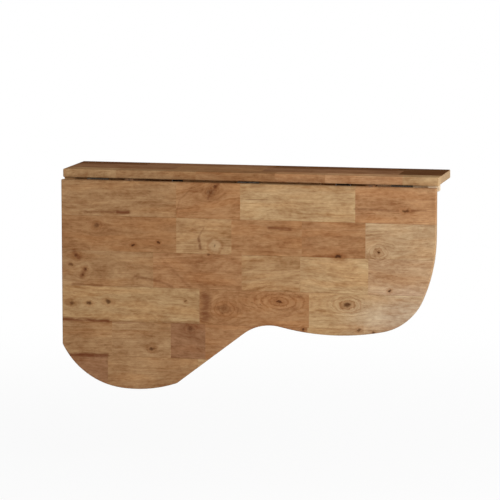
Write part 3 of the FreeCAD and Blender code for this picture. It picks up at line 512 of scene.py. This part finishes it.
def make_grain():
    tree, given, result = new_group(
        "grain", ("Along", "Across", "Through", "Seed", "Ends", "Tone"), ("Colour", "Roughness", "Height"),
    )
    along, across, through, shift = stave_place(tree, given)
    deep = calc(tree, "MULTIPLY", through, DEPTH_SCALE)
    fibre = stretched(tree, along, across, deep, FIBRE_SCALES, detail=4.0, roughness=0.65)
    pore = fade(tree, stretched(tree, along, across, deep, PORE_SCALES, detail=1.0), *PORE_RANGE)
    fleck = fade(tree, stretched(tree, along, across, shift, FLECK_SCALES, detail=3.0), *FLECK_RANGE)
    ruddy = fade(tree, stretched(tree, along, across, through, RUDDY_SCALES, detail=3.0), *RUDDY_RANGE)
    light = lightness(tree, given, along, across, shift, fibre)
    tone = given["Tone"]
    colour = mix(tree, light, tint(tree, 1.0, tone, DARK_WOOD), tint(tree, 1.0, tone, BRIGHT_WOOD))
    colour = tint(tree, calc(tree, "MULTIPLY", ruddy, RUDDY_SHARE), colour, RUDDY)
    colour = tint(tree, calc(tree, "MULTIPLY", fleck, FLECK_SHARE), colour, FLECK)
    colour = tint(tree, calc(tree, "MULTIPLY", pore, PORE_SHARE), colour, PORE)
    # Paler end grain; on the shelf's right end it is also painted light
    colour = mix(tree, calc(tree, "MULTIPLY", given["Ends"], END_SHARE), colour, END_GRAIN_AND_LIGHT)
    tree.links.new(colour, result["Colour"])
    dull = weighted(tree, (fibre, FIBRE_ROUGHNESS), (given["Ends"], END_ROUGHNESS))
    tree.links.new(calc(tree, "ADD", dull, WOOD_ROUGHNESS), result["Roughness"])
    tree.links.new(weighted(tree, (fibre, FIBRE_HEIGHT), (pore, PORE_HEIGHT)), result["Height"])
    return tree


grain = make_grain()
print("grain group with", len(grain.nodes), "nodes")

# %% [markdown]
# A board's material reads Object coordinates, which here are metres in the table's own frame, so nothing
# has to be unwrapped. The axes are named for the wood: along the grain, across it from one edge, and
# through the thickness. Faces whose normal points along the grain show end grain, the sawn ends of the
# fibres, which look paler and duller; on the shelf's right end the pale colour is also painted light. The
# wood is oiled and matt: the grain shows as a faint relief, and there is no varnish.

# %% Where a point lies in a board
AXES = "XYZ"
END_RANGE = (0.6, 0.95)
WOOD_BUMP = (0.2, 0.5 * MM)


def in_board(tree, along_axis, across_axis, edge):
    """Along, across, through and the share of end grain; an across axis with a minus runs downwards."""
    coordinates = add(tree, "TexCoord").outputs
    place = add(tree, "SeparateXYZ", {0: coordinates["Object"]}).outputs
    normal = add(tree, "SeparateXYZ", {0: coordinates["Normal"]}).outputs
    across = place[AXES.index(across_axis[-1])]
    if across_axis.startswith("-"):
        across = calc(tree, "SUBTRACT", edge, across)
    else:
        across = calc(tree, "SUBTRACT", across, edge)
    through_axis = next(axis for axis in AXES if axis not in (along_axis, across_axis[-1]))
    ends = fade(tree, calc(tree, "ABSOLUTE", normal[AXES.index(along_axis)]), *END_RANGE)
    return place[AXES.index(along_axis)], across, place[AXES.index(through_axis)], ends


def relief(tree, shader, height, strength, depth):
    """Bump that follows a height; the depth is what a height of 1 stands for."""
    bump = add(tree, "Bump", {"Strength": strength, "Distance": depth, "Height": height})
    tree.links.new(bump.outputs[0], shader.inputs["Normal"])


def oil(tree, shader, colour, wood):
    """Matt oil in the wood: the pores stay open, and the white room leaves no veil on it at a low angle."""
    tree.links.new(colour, shader.inputs["Base Color"])
    tree.links.new(wood["Roughness"], shader.inputs["Roughness"])
    relief(tree, shader, wood["Height"], *WOOD_BUMP)
    shader.inputs["Specular IOR Level"].default_value = 0.0


print("end grain begins where the normal is", END_RANGE[0], "along the grain")

# %% [markdown]
# Knots and streaks drawn from plain distances are too neat, so a noise nudges the coordinates first. It
# nudges the streaks less than the knots, and is drawn out along the grain for them. Each mark could be
# mixed into the colour by itself. Joining it to a running total at once keeps the shader small enough,
# and the total is mixed in once.

# %% Knots and streaks of a board
KNOT_NUDGE = 16 * MM
STREAK_NUDGE = 7 * MM
STREAK_STRETCH = 0.35
NUDGE_SCALE = 75.0
PATCH_SCALE = 85.0
PATCH_RANGE = (0.3, 0.55)
PATCH_LEAST = 0.4
RING = screen(196, 150, 116)
HALO = screen(214, 178, 148)
EYE = screen(62, 36, 22)
RING_CONTRAST = (0.0, 0.8, 0.0, 0.5)  # from, to, and the strength at each
HALO_SHARE = 0.7
EYE_SHARE = 0.9


def drawn_out(tree, along, across, stretch):
    """Place for a noise; a low stretch draws it out along the grain."""
    return vector(tree, calc(tree, "MULTIPLY", along, stretch), across)


def ragged(tree, along, across, size, stretch=1.0):
    """Along and across, nudged by up to half the size each way."""
    place = drawn_out(tree, along, across, stretch)
    settings = {"Vector": place, "Scale": NUDGE_SCALE, "Detail": 5.0, "Roughness": 0.65}
    wobble = add(tree, "TexNoise", settings)
    nudge = add(tree, "SeparateColor", {0: wobble.outputs["Color"]}).outputs
    return [calc(tree, "MULTIPLY_ADD", nudge[axis], size, calc(tree, "SUBTRACT", start, size / 2))
            for axis, start in enumerate((along, across))]


def all_knots(tree, along, across, knots):
    """Eye, halo, rings and push of all the knots together."""
    joins = {"Eye": "MAXIMUM", "Halo": "MAXIMUM", "Rings": "ADD", "Push": "ADD"}
    totals = dict.fromkeys(joins, 0.0)
    for middle, down, radius, stretch, darkness in knots:
        made = use_group(tree, knot, {
            "Along": along, "Across": across, "Middle": middle * MM, "Down": down * MM,
            "Radius": radius * MM, "Stretch": stretch, "Darkness": darkness,
        })
        totals = {name: calc(tree, join, totals[name], made[name]) for name, join in joins.items()}
    return totals


def draw_knots(tree, marks, colour):
    """Colour with the rings, halos and eyes on it."""
    colour = tint(tree, fade(tree, marks["Rings"], *RING_CONTRAST), colour, RING)
    colour = tint(tree, calc(tree, "MULTIPLY", marks["Halo"], HALO_SHARE), colour, HALO)
    return mix(tree, calc(tree, "MULTIPLY", marks["Eye"], EYE_SHARE), colour, EYE)


def all_streaks(tree, along, across, streaks):
    """Darkness of all the streaks together, broken into patches."""
    dark = 0.0
    for *sizes, darkness in streaks:
        made = use_group(tree, streak, {
            "Along": along, "Across": across, "Darkness": darkness,
            **{name: value * MM for name, value in zip(STREAK_INPUTS, sizes)},
        })
        dark = calc(tree, "MAXIMUM", dark, made["Dark"])
    place = drawn_out(tree, along, across, STREAK_STRETCH)
    patches = noise(tree, place, detail=4.0, roughness=0.65, scale=PATCH_SCALE)
    return calc(tree, "MULTIPLY", dark, fade(tree, patches, *PATCH_RANGE, PATCH_LEAST, 1.0))


print("knots are nudged by up to", KNOT_NUDGE / 2 / MM, "mm, streaks by", STREAK_NUDGE / 2 / MM, "mm")

# %% [markdown]
# Three marks are left. The pale patch at the leaf's lower right is painted sheen: a veil of light painted
# into the colour, without an edge, which is a single soft fade. A pith is the heart of a branch that was
# sawn across: a pale disc in a dark ring with a small dark centre, which is three fades of one distance.
# The rows of staves meet in thin glue lines, and a repeated distance to the row's edge draws them all at
# once.

# %% Painted sheen, pith and glue lines
# Places in millimetres, along and down; each fade is from, to, and the strength at each
# Painted sheen: a pale veil of light on the leaf's lower right, painted into the colour
SHEEN_PLACE = (420, 318)
SHEEN_SQUASH = 2.2
SHEEN_FADE = (60 * MM, 230 * MM, 1.0, 0.0)
PAINTED_SHEEN = (1.08, 1.24, 1.64, 1.0)
PITH_PLACE = (-75, 147)
PITH_FADE = (8 * MM, 19 * MM, 0.45, 0.0)
PITH_RING = 17 * MM
PITH_RING_FADE = (0.5 * MM, 7 * MM, 0.35, 0.0)
PITH_CENTRE_FADE = (1.5 * MM, 4 * MM, 0.5, 0.0)
PITH_WOOD = screen(176, 146, 110)
GLUE = screen(150, 118, 94)
GLUE_FADE = (0.3 * MM, 1.2 * MM, 0.25, 0.0)


def from_place(tree, along, across, place):
    """Offsets along and across from a place that is given in millimetres."""
    return [calc(tree, "SUBTRACT", value, start * MM) for value, start in zip((along, across), place)]


def painted_sheen(tree, along, across, colour):
    """Painted sheen: a wide pale veil of light at the leaf's lower right."""
    side, rise = from_place(tree, along, across, SHEEN_PLACE)
    away = distance(tree, side, calc(tree, "MULTIPLY", rise, SHEEN_SQUASH))
    return tint(tree, fade(tree, away, *SHEEN_FADE), colour, PAINTED_SHEEN)


def pith_disc(tree, along, across, colour):
    """Heart of a sawn branch."""
    away = distance(tree, *from_place(tree, along, across, PITH_PLACE))
    colour = mix(tree, fade(tree, away, *PITH_FADE), colour, PITH_WOOD)
    ring = calc(tree, "ABSOLUTE", calc(tree, "SUBTRACT", away, PITH_RING))
    colour = tint(tree, fade(tree, ring, *PITH_RING_FADE), colour, RING)
    return mix(tree, fade(tree, away, *PITH_CENTRE_FADE), colour, EYE)


def glue_line(tree, across):
    """Strength of the line where two rows meet; the board's first edge has none."""
    share = calc(tree, "FRACT", calc(tree, "ADD", calc(tree, "DIVIDE", across, STAVE_WIDTH), 0.5))
    away = calc(tree, "MULTIPLY", calc(tree, "ABSOLUTE", calc(tree, "SUBTRACT", share, 0.5)), STAVE_WIDTH)
    inside = calc(tree, "GREATER_THAN", across, STAVE_WIDTH / 2)
    return calc(tree, "MULTIPLY", inside, fade(tree, away, *GLUE_FADE))


print("painted_sheen", SHEEN_PLACE, "and pith", PITH_PLACE, "in mm along and down the leaf")

# %% [markdown]
# The leaf and the shelf are the boards that show. Each takes its cutting list, a seed for every stave
# from the stave's tone and row, and its glue lines, and the leaf takes its knots, streaks, pith and painted
# sheen too. One recipe makes both, so that they are plainly the same timber. The leaf's ends are less pale
# than the shelf's, whose pale end is partly painted light.

# %% Stave boards
TONE_STEP = (0.001, 0.001, 0.001)
LEAF_ENDS = 0.3
BARK = screen(96, 48, 26)
BARK_SHARE = 0.85


def stave_board(name, node, rows, across_axis, edge, knots=(), streaks=(), end_share=1.0):
    """Wood of a board glued up from rows of staves along X."""
    material, tree, shader = new_material(name)
    low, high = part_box(node)
    along, across, through, ends = in_board(tree, "X", across_axis, edge)
    ends = calc(tree, "MULTIPLY", ends, end_share)
    share = calc(tree, "DIVIDE", calc(tree, "SUBTRACT", along, low[0]), high[0] - low[0])
    tone, row = stave_tones(tree, share, across, rows)
    plain_tone = vector_calc(tree, "SNAP", tone, TONE_STEP)
    seed = add(tree, "TexWhiteNoise", {"Vector": plain_tone, "W": row}, noise_dimensions="4D").outputs[0]
    pushed = across
    if knots:
        rough = ragged(tree, along, across, KNOT_NUDGE)
        marks = all_knots(tree, *rough, knots)
        pushed = calc(tree, "ADD", across, marks["Push"])
    wood = use_group(tree, grain, {
        "Along": along, "Across": pushed, "Through": through, "Seed": seed, "Ends": ends, "Tone": tone,
    })
    colour = tint(tree, glue_line(tree, across), wood["Colour"], GLUE)
    if knots:
        # Painted sheen: the pale veil of light at the leaf's lower right
        colour = painted_sheen(tree, *rough, colour)
        colour = pith_disc(tree, *rough, colour)
        colour = draw_knots(tree, marks, colour)
        dark = all_streaks(tree, *ragged(tree, along, across, STREAK_NUDGE, STREAK_STRETCH), streaks)
        colour = mix(tree, calc(tree, "MULTIPLY", dark, BARK_SHARE), colour, BARK)
    oil(tree, shader, colour, wood)
    return material


leaf_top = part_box("drop_leaf")[1][2]
shelf_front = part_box("shelf_board")[0][1] - (STAVE_WIDTH - SHELF_FIRST_ROW)
leaf_wood = stave_board(
    "leaf_wood", "drop_leaf", LEAF_STAVES, "-Z", leaf_top, LEAF_KNOTS, LEAF_STREAKS, LEAF_ENDS,
)
shelf_wood = stave_board("shelf_wood", "shelf_board", SHELF_STAVES, "Y", shelf_front)
print("leaf wood", len(leaf_wood.node_tree.nodes), "nodes, shelf wood", len(shelf_wood.node_tree.nodes))

# %% [markdown]
# The frame behind the leaf is the same timber in single boards. Only the direction of the grain, the tone
# and the seed change: along the rail, up the stiles, and out along the corbels, as a joiner would cut
# them for strength. One material could serve them all, but its grain would run across some of them. The
# batten and the end block at the right of the joint get a pale tone as painted light, so that the shadow
# between shelf and leaf is lighter there, and the dowels are pale, unfinished beech. End grain hardly
# shows on the frame.

# %% Frame boards and dowels
FRAME_ENDS = 0.1


def plain_board(name, along_axis, across_axis, tone, seed):
    material, tree, shader = new_material(name)
    along, across, through, ends = in_board(tree, along_axis, across_axis, 0.0)
    wood = use_group(tree, grain, {
        "Along": along, "Across": across, "Through": through, "Seed": seed, "Tone": TONES[tone],
        "Ends": calc(tree, "MULTIPLY", ends, FRAME_ENDS),
    })
    oil(tree, shader, wood["Colour"], wood)
    return material


rail_wood = plain_board("rail_wood", "X", "Z", "honey", 0.31)
# Painted light: a pale copy of the rail's wood, lightening the shadow in the joint at the right
painted_light_strip = plain_board("painted_light_strip", "X", "Z", "painted_light_maple", 0.31)
stile_wood = plain_board("stile_wood", "Z", "X", "tan", 0.74)
corbel_wood = plain_board("corbel_wood", "Y", "Z", "umber", 0.52)
dowel_wood = plain_board("dowel_wood", "Z", "X", "cream", 0.18)
print("frame woods:", [wood.name for wood in (rail_wood, painted_light_strip, stile_wood, corbel_wood, dowel_wood)])

# %% [markdown]
# The hinges are bronzed steel, dark enough to vanish in the joint between the boards, and the brackets'
# pins and screws are zinc plated. One grey with one gloss would look like plastic. Rolling leaves fine
# lines along a strip, so a noise stretched along X drives both the roughness and a faint bump, and a slow
# noise gives the clouds of the plating. One recipe makes both.

# %% Plated steel
BRONZE = (screen(52, 44, 38), screen(84, 72, 62))
ZINC = (screen(150, 152, 154), screen(206, 207, 206))
LINE_SCALES = (60, 2600, 2600)
CLOUD_SCALES = (140, 140, 140)
CLOUD_RANGE = (0.3, 0.7)
PLATE_ROUGHNESS = 0.22
LINE_ROUGHNESS = 0.18
CLOUD_ROUGHNESS = 0.16
PLATE_BUMP = (0.12, 0.3 * MM)


def place_in(tree, scales):
    """Object coordinates, scaled for a noise."""
    coordinates = add(tree, "TexCoord").outputs["Object"]
    return add(tree, "Mapping", {"Vector": coordinates, "Scale": scales}).outputs[0]


def plated(name, dark, bright):
    material, tree, shader = new_material(name)
    lines = noise(tree, place_in(tree, LINE_SCALES), detail=3.0)
    clouds = noise(tree, place_in(tree, CLOUD_SCALES), detail=4.0, roughness=0.6)
    colour = mix(tree, fade(tree, clouds, *CLOUD_RANGE), dark, bright)
    tree.links.new(colour, shader.inputs["Base Color"])
    dull = weighted(tree, (lines, LINE_ROUGHNESS), (clouds, CLOUD_ROUGHNESS))
    tree.links.new(calc(tree, "ADD", dull, PLATE_ROUGHNESS), shader.inputs["Roughness"])
    relief(tree, shader, lines, *PLATE_BUMP)
    shader.inputs["Metallic"].default_value = 1.0
    return material


hinge_bronze = plated("hinge_bronze", *BRONZE)
pin_zinc = plated("pin_zinc", *ZINC)
print(hinge_bronze.name, pin_zinc.name, len(pin_zinc.node_tree.nodes), "nodes each")

# %% [markdown]
# The brackets are folded steel with a black powder coat. The paint flows into a fine orange peel, and it
# is rubbed thin and shiny in patches where hands and the sliding parts touch it. Modelling the peel would
# take millions of faces, so it is a bump from a fine noise. The bumpers and the arms' tip pads are
# rubber: matt, finely speckled, and dusty in patches.

# %% Powder coat and rubber
COAT = (screen(38, 38, 40), screen(62, 61, 60))
PEEL_SCALES = (900, 900, 900)
RUB_SCALES = (45, 45, 45)
RUB_RANGE = (0.5, 0.7)
COAT_ROUGHNESS = 0.42
PEEL_ROUGHNESS = 0.12
RUB_ROUGHNESS = -0.12
COAT_BUMP = (0.35, 0.4 * MM)
RUBBER = (screen(44, 43, 42), screen(74, 72, 69))
SPECK_SCALES = (1400, 1400, 1400)
DUST_SCALES = (110, 110, 110)
DUST_RANGE = (0.45, 0.7)
SPECK_ROUGHNESS = 0.2
DUST_ROUGHNESS = 0.9
RUBBER_BUMP = (0.3, 0.3 * MM)


def powder_coat():
    material, tree, shader = new_material("bracket_coat")
    peel = noise(tree, place_in(tree, PEEL_SCALES), detail=1.0)
    rubs = noise(tree, place_in(tree, RUB_SCALES), detail=5.0, roughness=0.65)
    rubbed = fade(tree, rubs, *RUB_RANGE)
    tree.links.new(mix(tree, rubbed, *COAT), shader.inputs["Base Color"])
    dull = weighted(tree, (peel, PEEL_ROUGHNESS), (rubbed, RUB_ROUGHNESS))
    tree.links.new(calc(tree, "ADD", dull, COAT_ROUGHNESS), shader.inputs["Roughness"])
    relief(tree, shader, peel, *COAT_BUMP)
    return material


def soft_rubber():
    material, tree, shader = new_material("button_rubber")
    specks = noise(tree, place_in(tree, SPECK_SCALES), detail=2.0)
    dust = noise(tree, place_in(tree, DUST_SCALES), detail=4.0)
    tree.links.new(mix(tree, fade(tree, dust, *DUST_RANGE), *RUBBER), shader.inputs["Base Color"])
    dull = weighted(tree, (specks, SPECK_ROUGHNESS), (dust, DUST_ROUGHNESS))
    tree.links.new(dull, shader.inputs["Roughness"])
    relief(tree, shader, specks, *RUBBER_BUMP)
    return material


bracket_coat = powder_coat()
button_rubber = soft_rubber()
print(bracket_coat.name, button_rubber.name)

# %% [markdown]
# Now every CAD part gets its finish through its material slot. A list with all the names would do, but
# rules are shorter: they run from the most special name to the most general, and the first that fits is
# used.

# %% Finish the CAD parts
FINISHES = [
    # The strip at the right of the joint gets painted light
    ("batten_right", painted_light_strip), ("end_block_right", painted_light_strip),
    ("drop_leaf", leaf_wood), ("shelf_board", shelf_wood), ("dowels", dowel_wood), ("rail", rail_wood),
    ("stile", stile_wood), ("corbel", corbel_wood), ("bumper", button_rubber), ("tip_pad", button_rubber),
    ("batten", rail_wood), ("end_block", rail_wood), ("hinge", hinge_bronze), ("screws", pin_zinc),
    ("pin", pin_zinc), ("bushes", pin_zinc), ("prop_head", pin_zinc), ("bracket", bracket_coat),
]


def finish_for(name):
    return next(material for words, material in FINISHES if words in name)


for name, item in nodes.items():
    item.data.materials.clear()
    item.data.materials.append(finish_for(name))
print(len(FINISHES), "rules finish", len(nodes), "parts")

# %% [markdown]
# The CAD screws have plain heads, so here each is replaced by a screw of the same size with a cross
# recess. A boolean could cut the recess, but leaves untidy faces. Here the head starts as a filled
# circle. Cutting planes score the cross into it, the cross is extruded down and drawn in a little, and
# the rim is extruded into the cone, the shank and the point.

# %% One countersunk screw
HEAD_RADIUS = 3.2 * MM
SHANK_RADIUS = 1.75 * MM
SCREW_LENGTH = 16 * MM
POINT_LENGTH = 3 * MM
POINT_SHARE = 0.02
HEAD_SIDES = 32
CROSS_HALF = 0.45 * MM
CROSS_REACH = 1.9 * MM
CROSS_DEPTH = 1.5 * MM
CROSS_TAPER = 0.72


def score(mesh, normal, place):
    everything = mesh.verts[:] + mesh.edges[:] + mesh.faces[:]
    bmesh.ops.bisect_plane(mesh, geom=everything, plane_co=place, plane_no=normal)


def in_cross(face):
    x, y, _ = (abs(c) for c in face.calc_center_median())
    return min(x, y) < CROSS_HALF and max(x, y) < CROSS_REACH


def extrude_rim(mesh, edges, radius_share, drop):
    """Pull a ring of edges down by a drop and scale it about the Z axis; returns the new ring."""
    pulled = bmesh.ops.extrude_edge_only(mesh, edges=edges)["geom"]
    verts = [item for item in pulled if isinstance(item, bmesh.types.BMVert)]
    bmesh.ops.scale(mesh, vec=(radius_share, radius_share, 1), verts=verts)
    bmesh.ops.translate(mesh, vec=(0, 0, -drop), verts=verts)
    return [item for item in pulled if isinstance(item, bmesh.types.BMEdge) and item.is_boundary]


def sink_cross(mesh):
    """Extrude the scored cross down into the head."""
    cross = [face for face in mesh.faces if in_cross(face)]
    sunk = bmesh.ops.extrude_face_region(mesh, geom=cross)["geom"]
    floor_verts = [item for item in sunk if isinstance(item, bmesh.types.BMVert)]
    bmesh.ops.scale(mesh, vec=(CROSS_TAPER, CROSS_TAPER, 1), verts=floor_verts)
    bmesh.ops.translate(mesh, vec=(0, 0, -CROSS_DEPTH), verts=floor_verts)


def make_screw():
    """Mesh of a screw whose head lies face up at the origin."""
    mesh = bmesh.new()
    bmesh.ops.create_circle(mesh, cap_ends=True, segments=HEAD_SIDES, radius=HEAD_RADIUS)
    for reach in (CROSS_HALF, CROSS_REACH):
        for normal in (Vector((1, 0, 0)), Vector((0, 1, 0))):
            for way in (-1, 1):
                score(mesh, normal, normal * reach * way)
    rim = [edge for edge in mesh.edges if edge.is_boundary]
    sink_cross(mesh)
    cone_depth = HEAD_RADIUS - SHANK_RADIUS
    rim = extrude_rim(mesh, rim, SHANK_RADIUS / HEAD_RADIUS, cone_depth)
    rim = extrude_rim(mesh, rim, 1, SCREW_LENGTH - cone_depth - POINT_LENGTH)
    rim = extrude_rim(mesh, rim, POINT_SHARE, POINT_LENGTH)
    bmesh.ops.holes_fill(mesh, edges=rim)
    bmesh.ops.recalc_face_normals(mesh, faces=mesh.faces)
    made = bpy.data.meshes.new("screw")
    mesh.to_mesh(made)
    mesh.free()
    return made


screw_mesh = make_screw()
print("screw with", len(screw_mesh.polygons), "faces")

# %% [markdown]
# Where each screw goes could be typed in again, but the CAD group already says it: the mesh is copied,
# its doubles are merged, and each connected shell is one screw. A shell's middle and its end on the outer
# side give the head's place. The shells come in any order, so they are sorted by place, to be the same in
# every run.

# %% Find the screws
MERGE_DISTANCE = 1e-6
SORT_DIGITS = 4  # tenths of a millimetre


def shells(node):
    """Lists of vertex places, one for each connected shell of a CAD part, from left to right."""
    mesh = bmesh.new()
    mesh.from_mesh(nodes[node].data)
    bmesh.ops.remove_doubles(mesh, verts=mesh.verts, dist=MERGE_DISTANCE)
    left = set(mesh.verts)
    found = []
    while left:
        shell, edge_of_shell = set(), {left.pop()}
        while edge_of_shell:
            vert = edge_of_shell.pop()
            shell.add(vert)
            edge_of_shell |= {edge.other_vert(vert) for edge in vert.link_edges} - shell
        left -= shell
        found.append([vert.co.copy() for vert in shell])
    mesh.free()
    return sorted(found, key=lambda places: [round(c, SORT_DIGITS) for c in middle_of(places)])


def middle_of(places):
    return Vector([(min(p[axis] for p in places) + max(p[axis] for p in places)) / 2 for axis in range(3)])


def head_of(places, outward):
    """Middle of a shell's outer end."""
    middle = middle_of(places)
    return middle + outward * max((p - middle).dot(outward) for p in places)


print(len(shells("hinge_leaf_screws")), "screws hold the hinges to the leaf")

# %% [markdown]
# All the screws of one group become one piece, which rides with the board or plate that they hold to. A
# screw never stops at the same turn as its neighbour, so each is spun a little further than the last.

# %% Set the screws
SCREW_TURN = 37
SCREW_GROUPS = {
    "hinge_shelf_screws": ((0, 0, -1), "wall_unit", "hinge_steel"),
    "hinge_leaf_screws": ((0, 1, 0), "leaf", "hinge_steel"),
    "bracket_left_plate_screws": ((0, -1, 0), "wall_unit", "pin_steel"),
    "bracket_right_plate_screws": ((0, -1, 0), "wall_unit", "pin_steel"),
}


def new_piece(name, mesh, material, body, node):
    """Finished bmesh as an object that stands for a CAD part and rides on its body."""
    data = bpy.data.meshes.new(name)
    mesh.to_mesh(data)
    mesh.free()
    data.materials.append(material)
    piece = bpy.data.objects.new(name, data)
    bpy.context.collection.objects.link(piece)
    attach(piece, body)
    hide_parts(node)
    return piece


def set_screws(node, outward, body):
    outward = Vector(outward)
    mesh = bmesh.new()
    turn = outward.to_track_quat("Z", "Y").to_matrix().to_4x4()
    for number, places in enumerate(shells(node)):
        head = head_of(places, outward)
        spin = Matrix.Rotation(math.radians(SCREW_TURN * number), 4, "Z")
        before = len(mesh.verts)
        mesh.from_mesh(screw_mesh)
        mesh.verts.ensure_lookup_table()
        fresh = mesh.verts[before:]
        bmesh.ops.transform(mesh, matrix=Matrix.Translation(head) @ turn @ spin, verts=fresh)
    return new_piece(f"{node}_crossed", mesh, finish_for(node), body, node)


for node, (outward, body, slot) in SCREW_GROUPS.items():
    piece = set_screws(node, outward, body)
    print(piece.name, len(piece.data.polygons), "faces")

# %% [markdown]
# The table hangs on a wall, with the top of its shelf three quarters of a metre above the floor. More
# light would make the floor white and wash out the wood with it. So the floor glows plain white for what
# looks at it directly, the camera and reflections, and keeps a part of its own shading near the table, so
# the table's shadow stays on it.

# %% Floor
TABLE_HEIGHT = 0.75
FLOOR_SIZE = 6.0
FLOOR_SEGMENTS = 4
FLOOR_COLOUR = screen(235, 235, 235)
FLOOR_ROUGHNESS = 0.9
FLOOR_SHADING = 0.1
SHADING_RANGE = (0.8, 2.6)


def seen_directly(tree):
    """1 for rays from the camera, reflections and through glass."""
    rays = add(tree, "LightPath").outputs
    direct = calc(tree, "MAXIMUM", rays["Is Camera Ray"], rays["Is Glossy Ray"])
    return calc(tree, "MAXIMUM", direct, rays["Is Transmission Ray"])


def pale_floor():
    material, tree, shader = new_material("floor")
    shader.inputs["Base Color"].default_value = FLOOR_COLOUR
    shader.inputs["Roughness"].default_value = FLOOR_ROUGHNESS
    white = add(tree, "Emission", {"Color": (1, 1, 1, 1), "Strength": 1.0}).outputs[0]
    away = add(tree, "VectorMath", {0: add(tree, "TexCoord").outputs["Object"]}, operation="LENGTH")
    shading = fade(tree, away.outputs["Value"], *SHADING_RANGE, FLOOR_SHADING, 0.0)
    share = calc(tree, "MULTIPLY", seen_directly(tree), calc(tree, "SUBTRACT", 1.0, shading))
    blended = add(tree, "MixShader", {0: share, 1: shader.outputs[0], 2: white}).outputs[0]
    tree.links.new(blended, tree.nodes["Material Output"].inputs["Surface"])
    return material


floor_mesh = bmesh.new()
bmesh.ops.create_grid(floor_mesh, x_segments=FLOOR_SEGMENTS, y_segments=FLOOR_SEGMENTS, size=FLOOR_SIZE)
shelf_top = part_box("shelf_board")[1][2]
bmesh.ops.translate(floor_mesh, vec=(0, 0, shelf_top - TABLE_HEIGHT), verts=floor_mesh.verts)
floor_data = bpy.data.meshes.new("floor")
floor_mesh.to_mesh(floor_data)
floor_mesh.free()
floor_data.materials.append(pale_floor())
floor = bpy.data.objects.new("floor", floor_data)
bpy.context.collection.objects.link(floor)
print("floor at", round(shelf_top - TABLE_HEIGHT, 3))

# %% [markdown]
# The surroundings are done in the same way: white where they are looked at directly, and for all other
# rays a calm grey, which lights the table from every side without washing it out.

# %% Surroundings
AMBIENT = 0.46

world = bpy.data.worlds.new("studio")
world.use_nodes = True
bpy.context.scene.world = world
world_tree = world.node_tree
background = world_tree.nodes["Background"]
background.inputs["Color"].default_value = (1, 1, 1, 1)
strength = calc(world_tree, "MULTIPLY_ADD", seen_directly(world_tree), 1 - AMBIENT, AMBIENT)
world_tree.links.new(strength, background.inputs["Strength"])
print("surroundings light the table at", AMBIENT)

# %% [markdown]
# Four soft area lamps do the rest, since small ones would draw hard shadows. The main one is wide and
# stands in front, low and to the right: the leaf is evenly bright, and the shelf's top gets little of it.
# A weaker one at the left keeps the shadows open, one at the far right brightens the shelf's right end,
# and one behind lets the frame and the brackets be read from the back. That one is kept out of
# reflections, or it would lie as a glare on the shelf's top.

# %% Lamps
LAMPS = {
    # name: azimuth, height, distance, size, watts
    "main": (42, 18, 4.0, 2.2, 85),
    "fill": (-32, 14, 4.0, 2.6, 20),
    "right": (84, 14, 3.5, 1.6, 34),
    "behind": (170, -4, 4.0, 1.0, 60),
}
for name, (azimuth, height, reach, width, watts) in LAMPS.items():
    lamp = bpy.data.lights.new(name, "AREA")
    lamp.size = width
    lamp.energy = watts
    lamp_object = bpy.data.objects.new(name, lamp)
    aim_at_table(lamp_object, azimuth, height, reach)
    lamp_object.visible_glossy = name != "behind"
print(len(LAMPS), "lamps")

# %% [markdown]
# Colours are shown as they are written, without a film look.

# %% View
bpy.context.scene.view_settings.view_transform = "Standard"
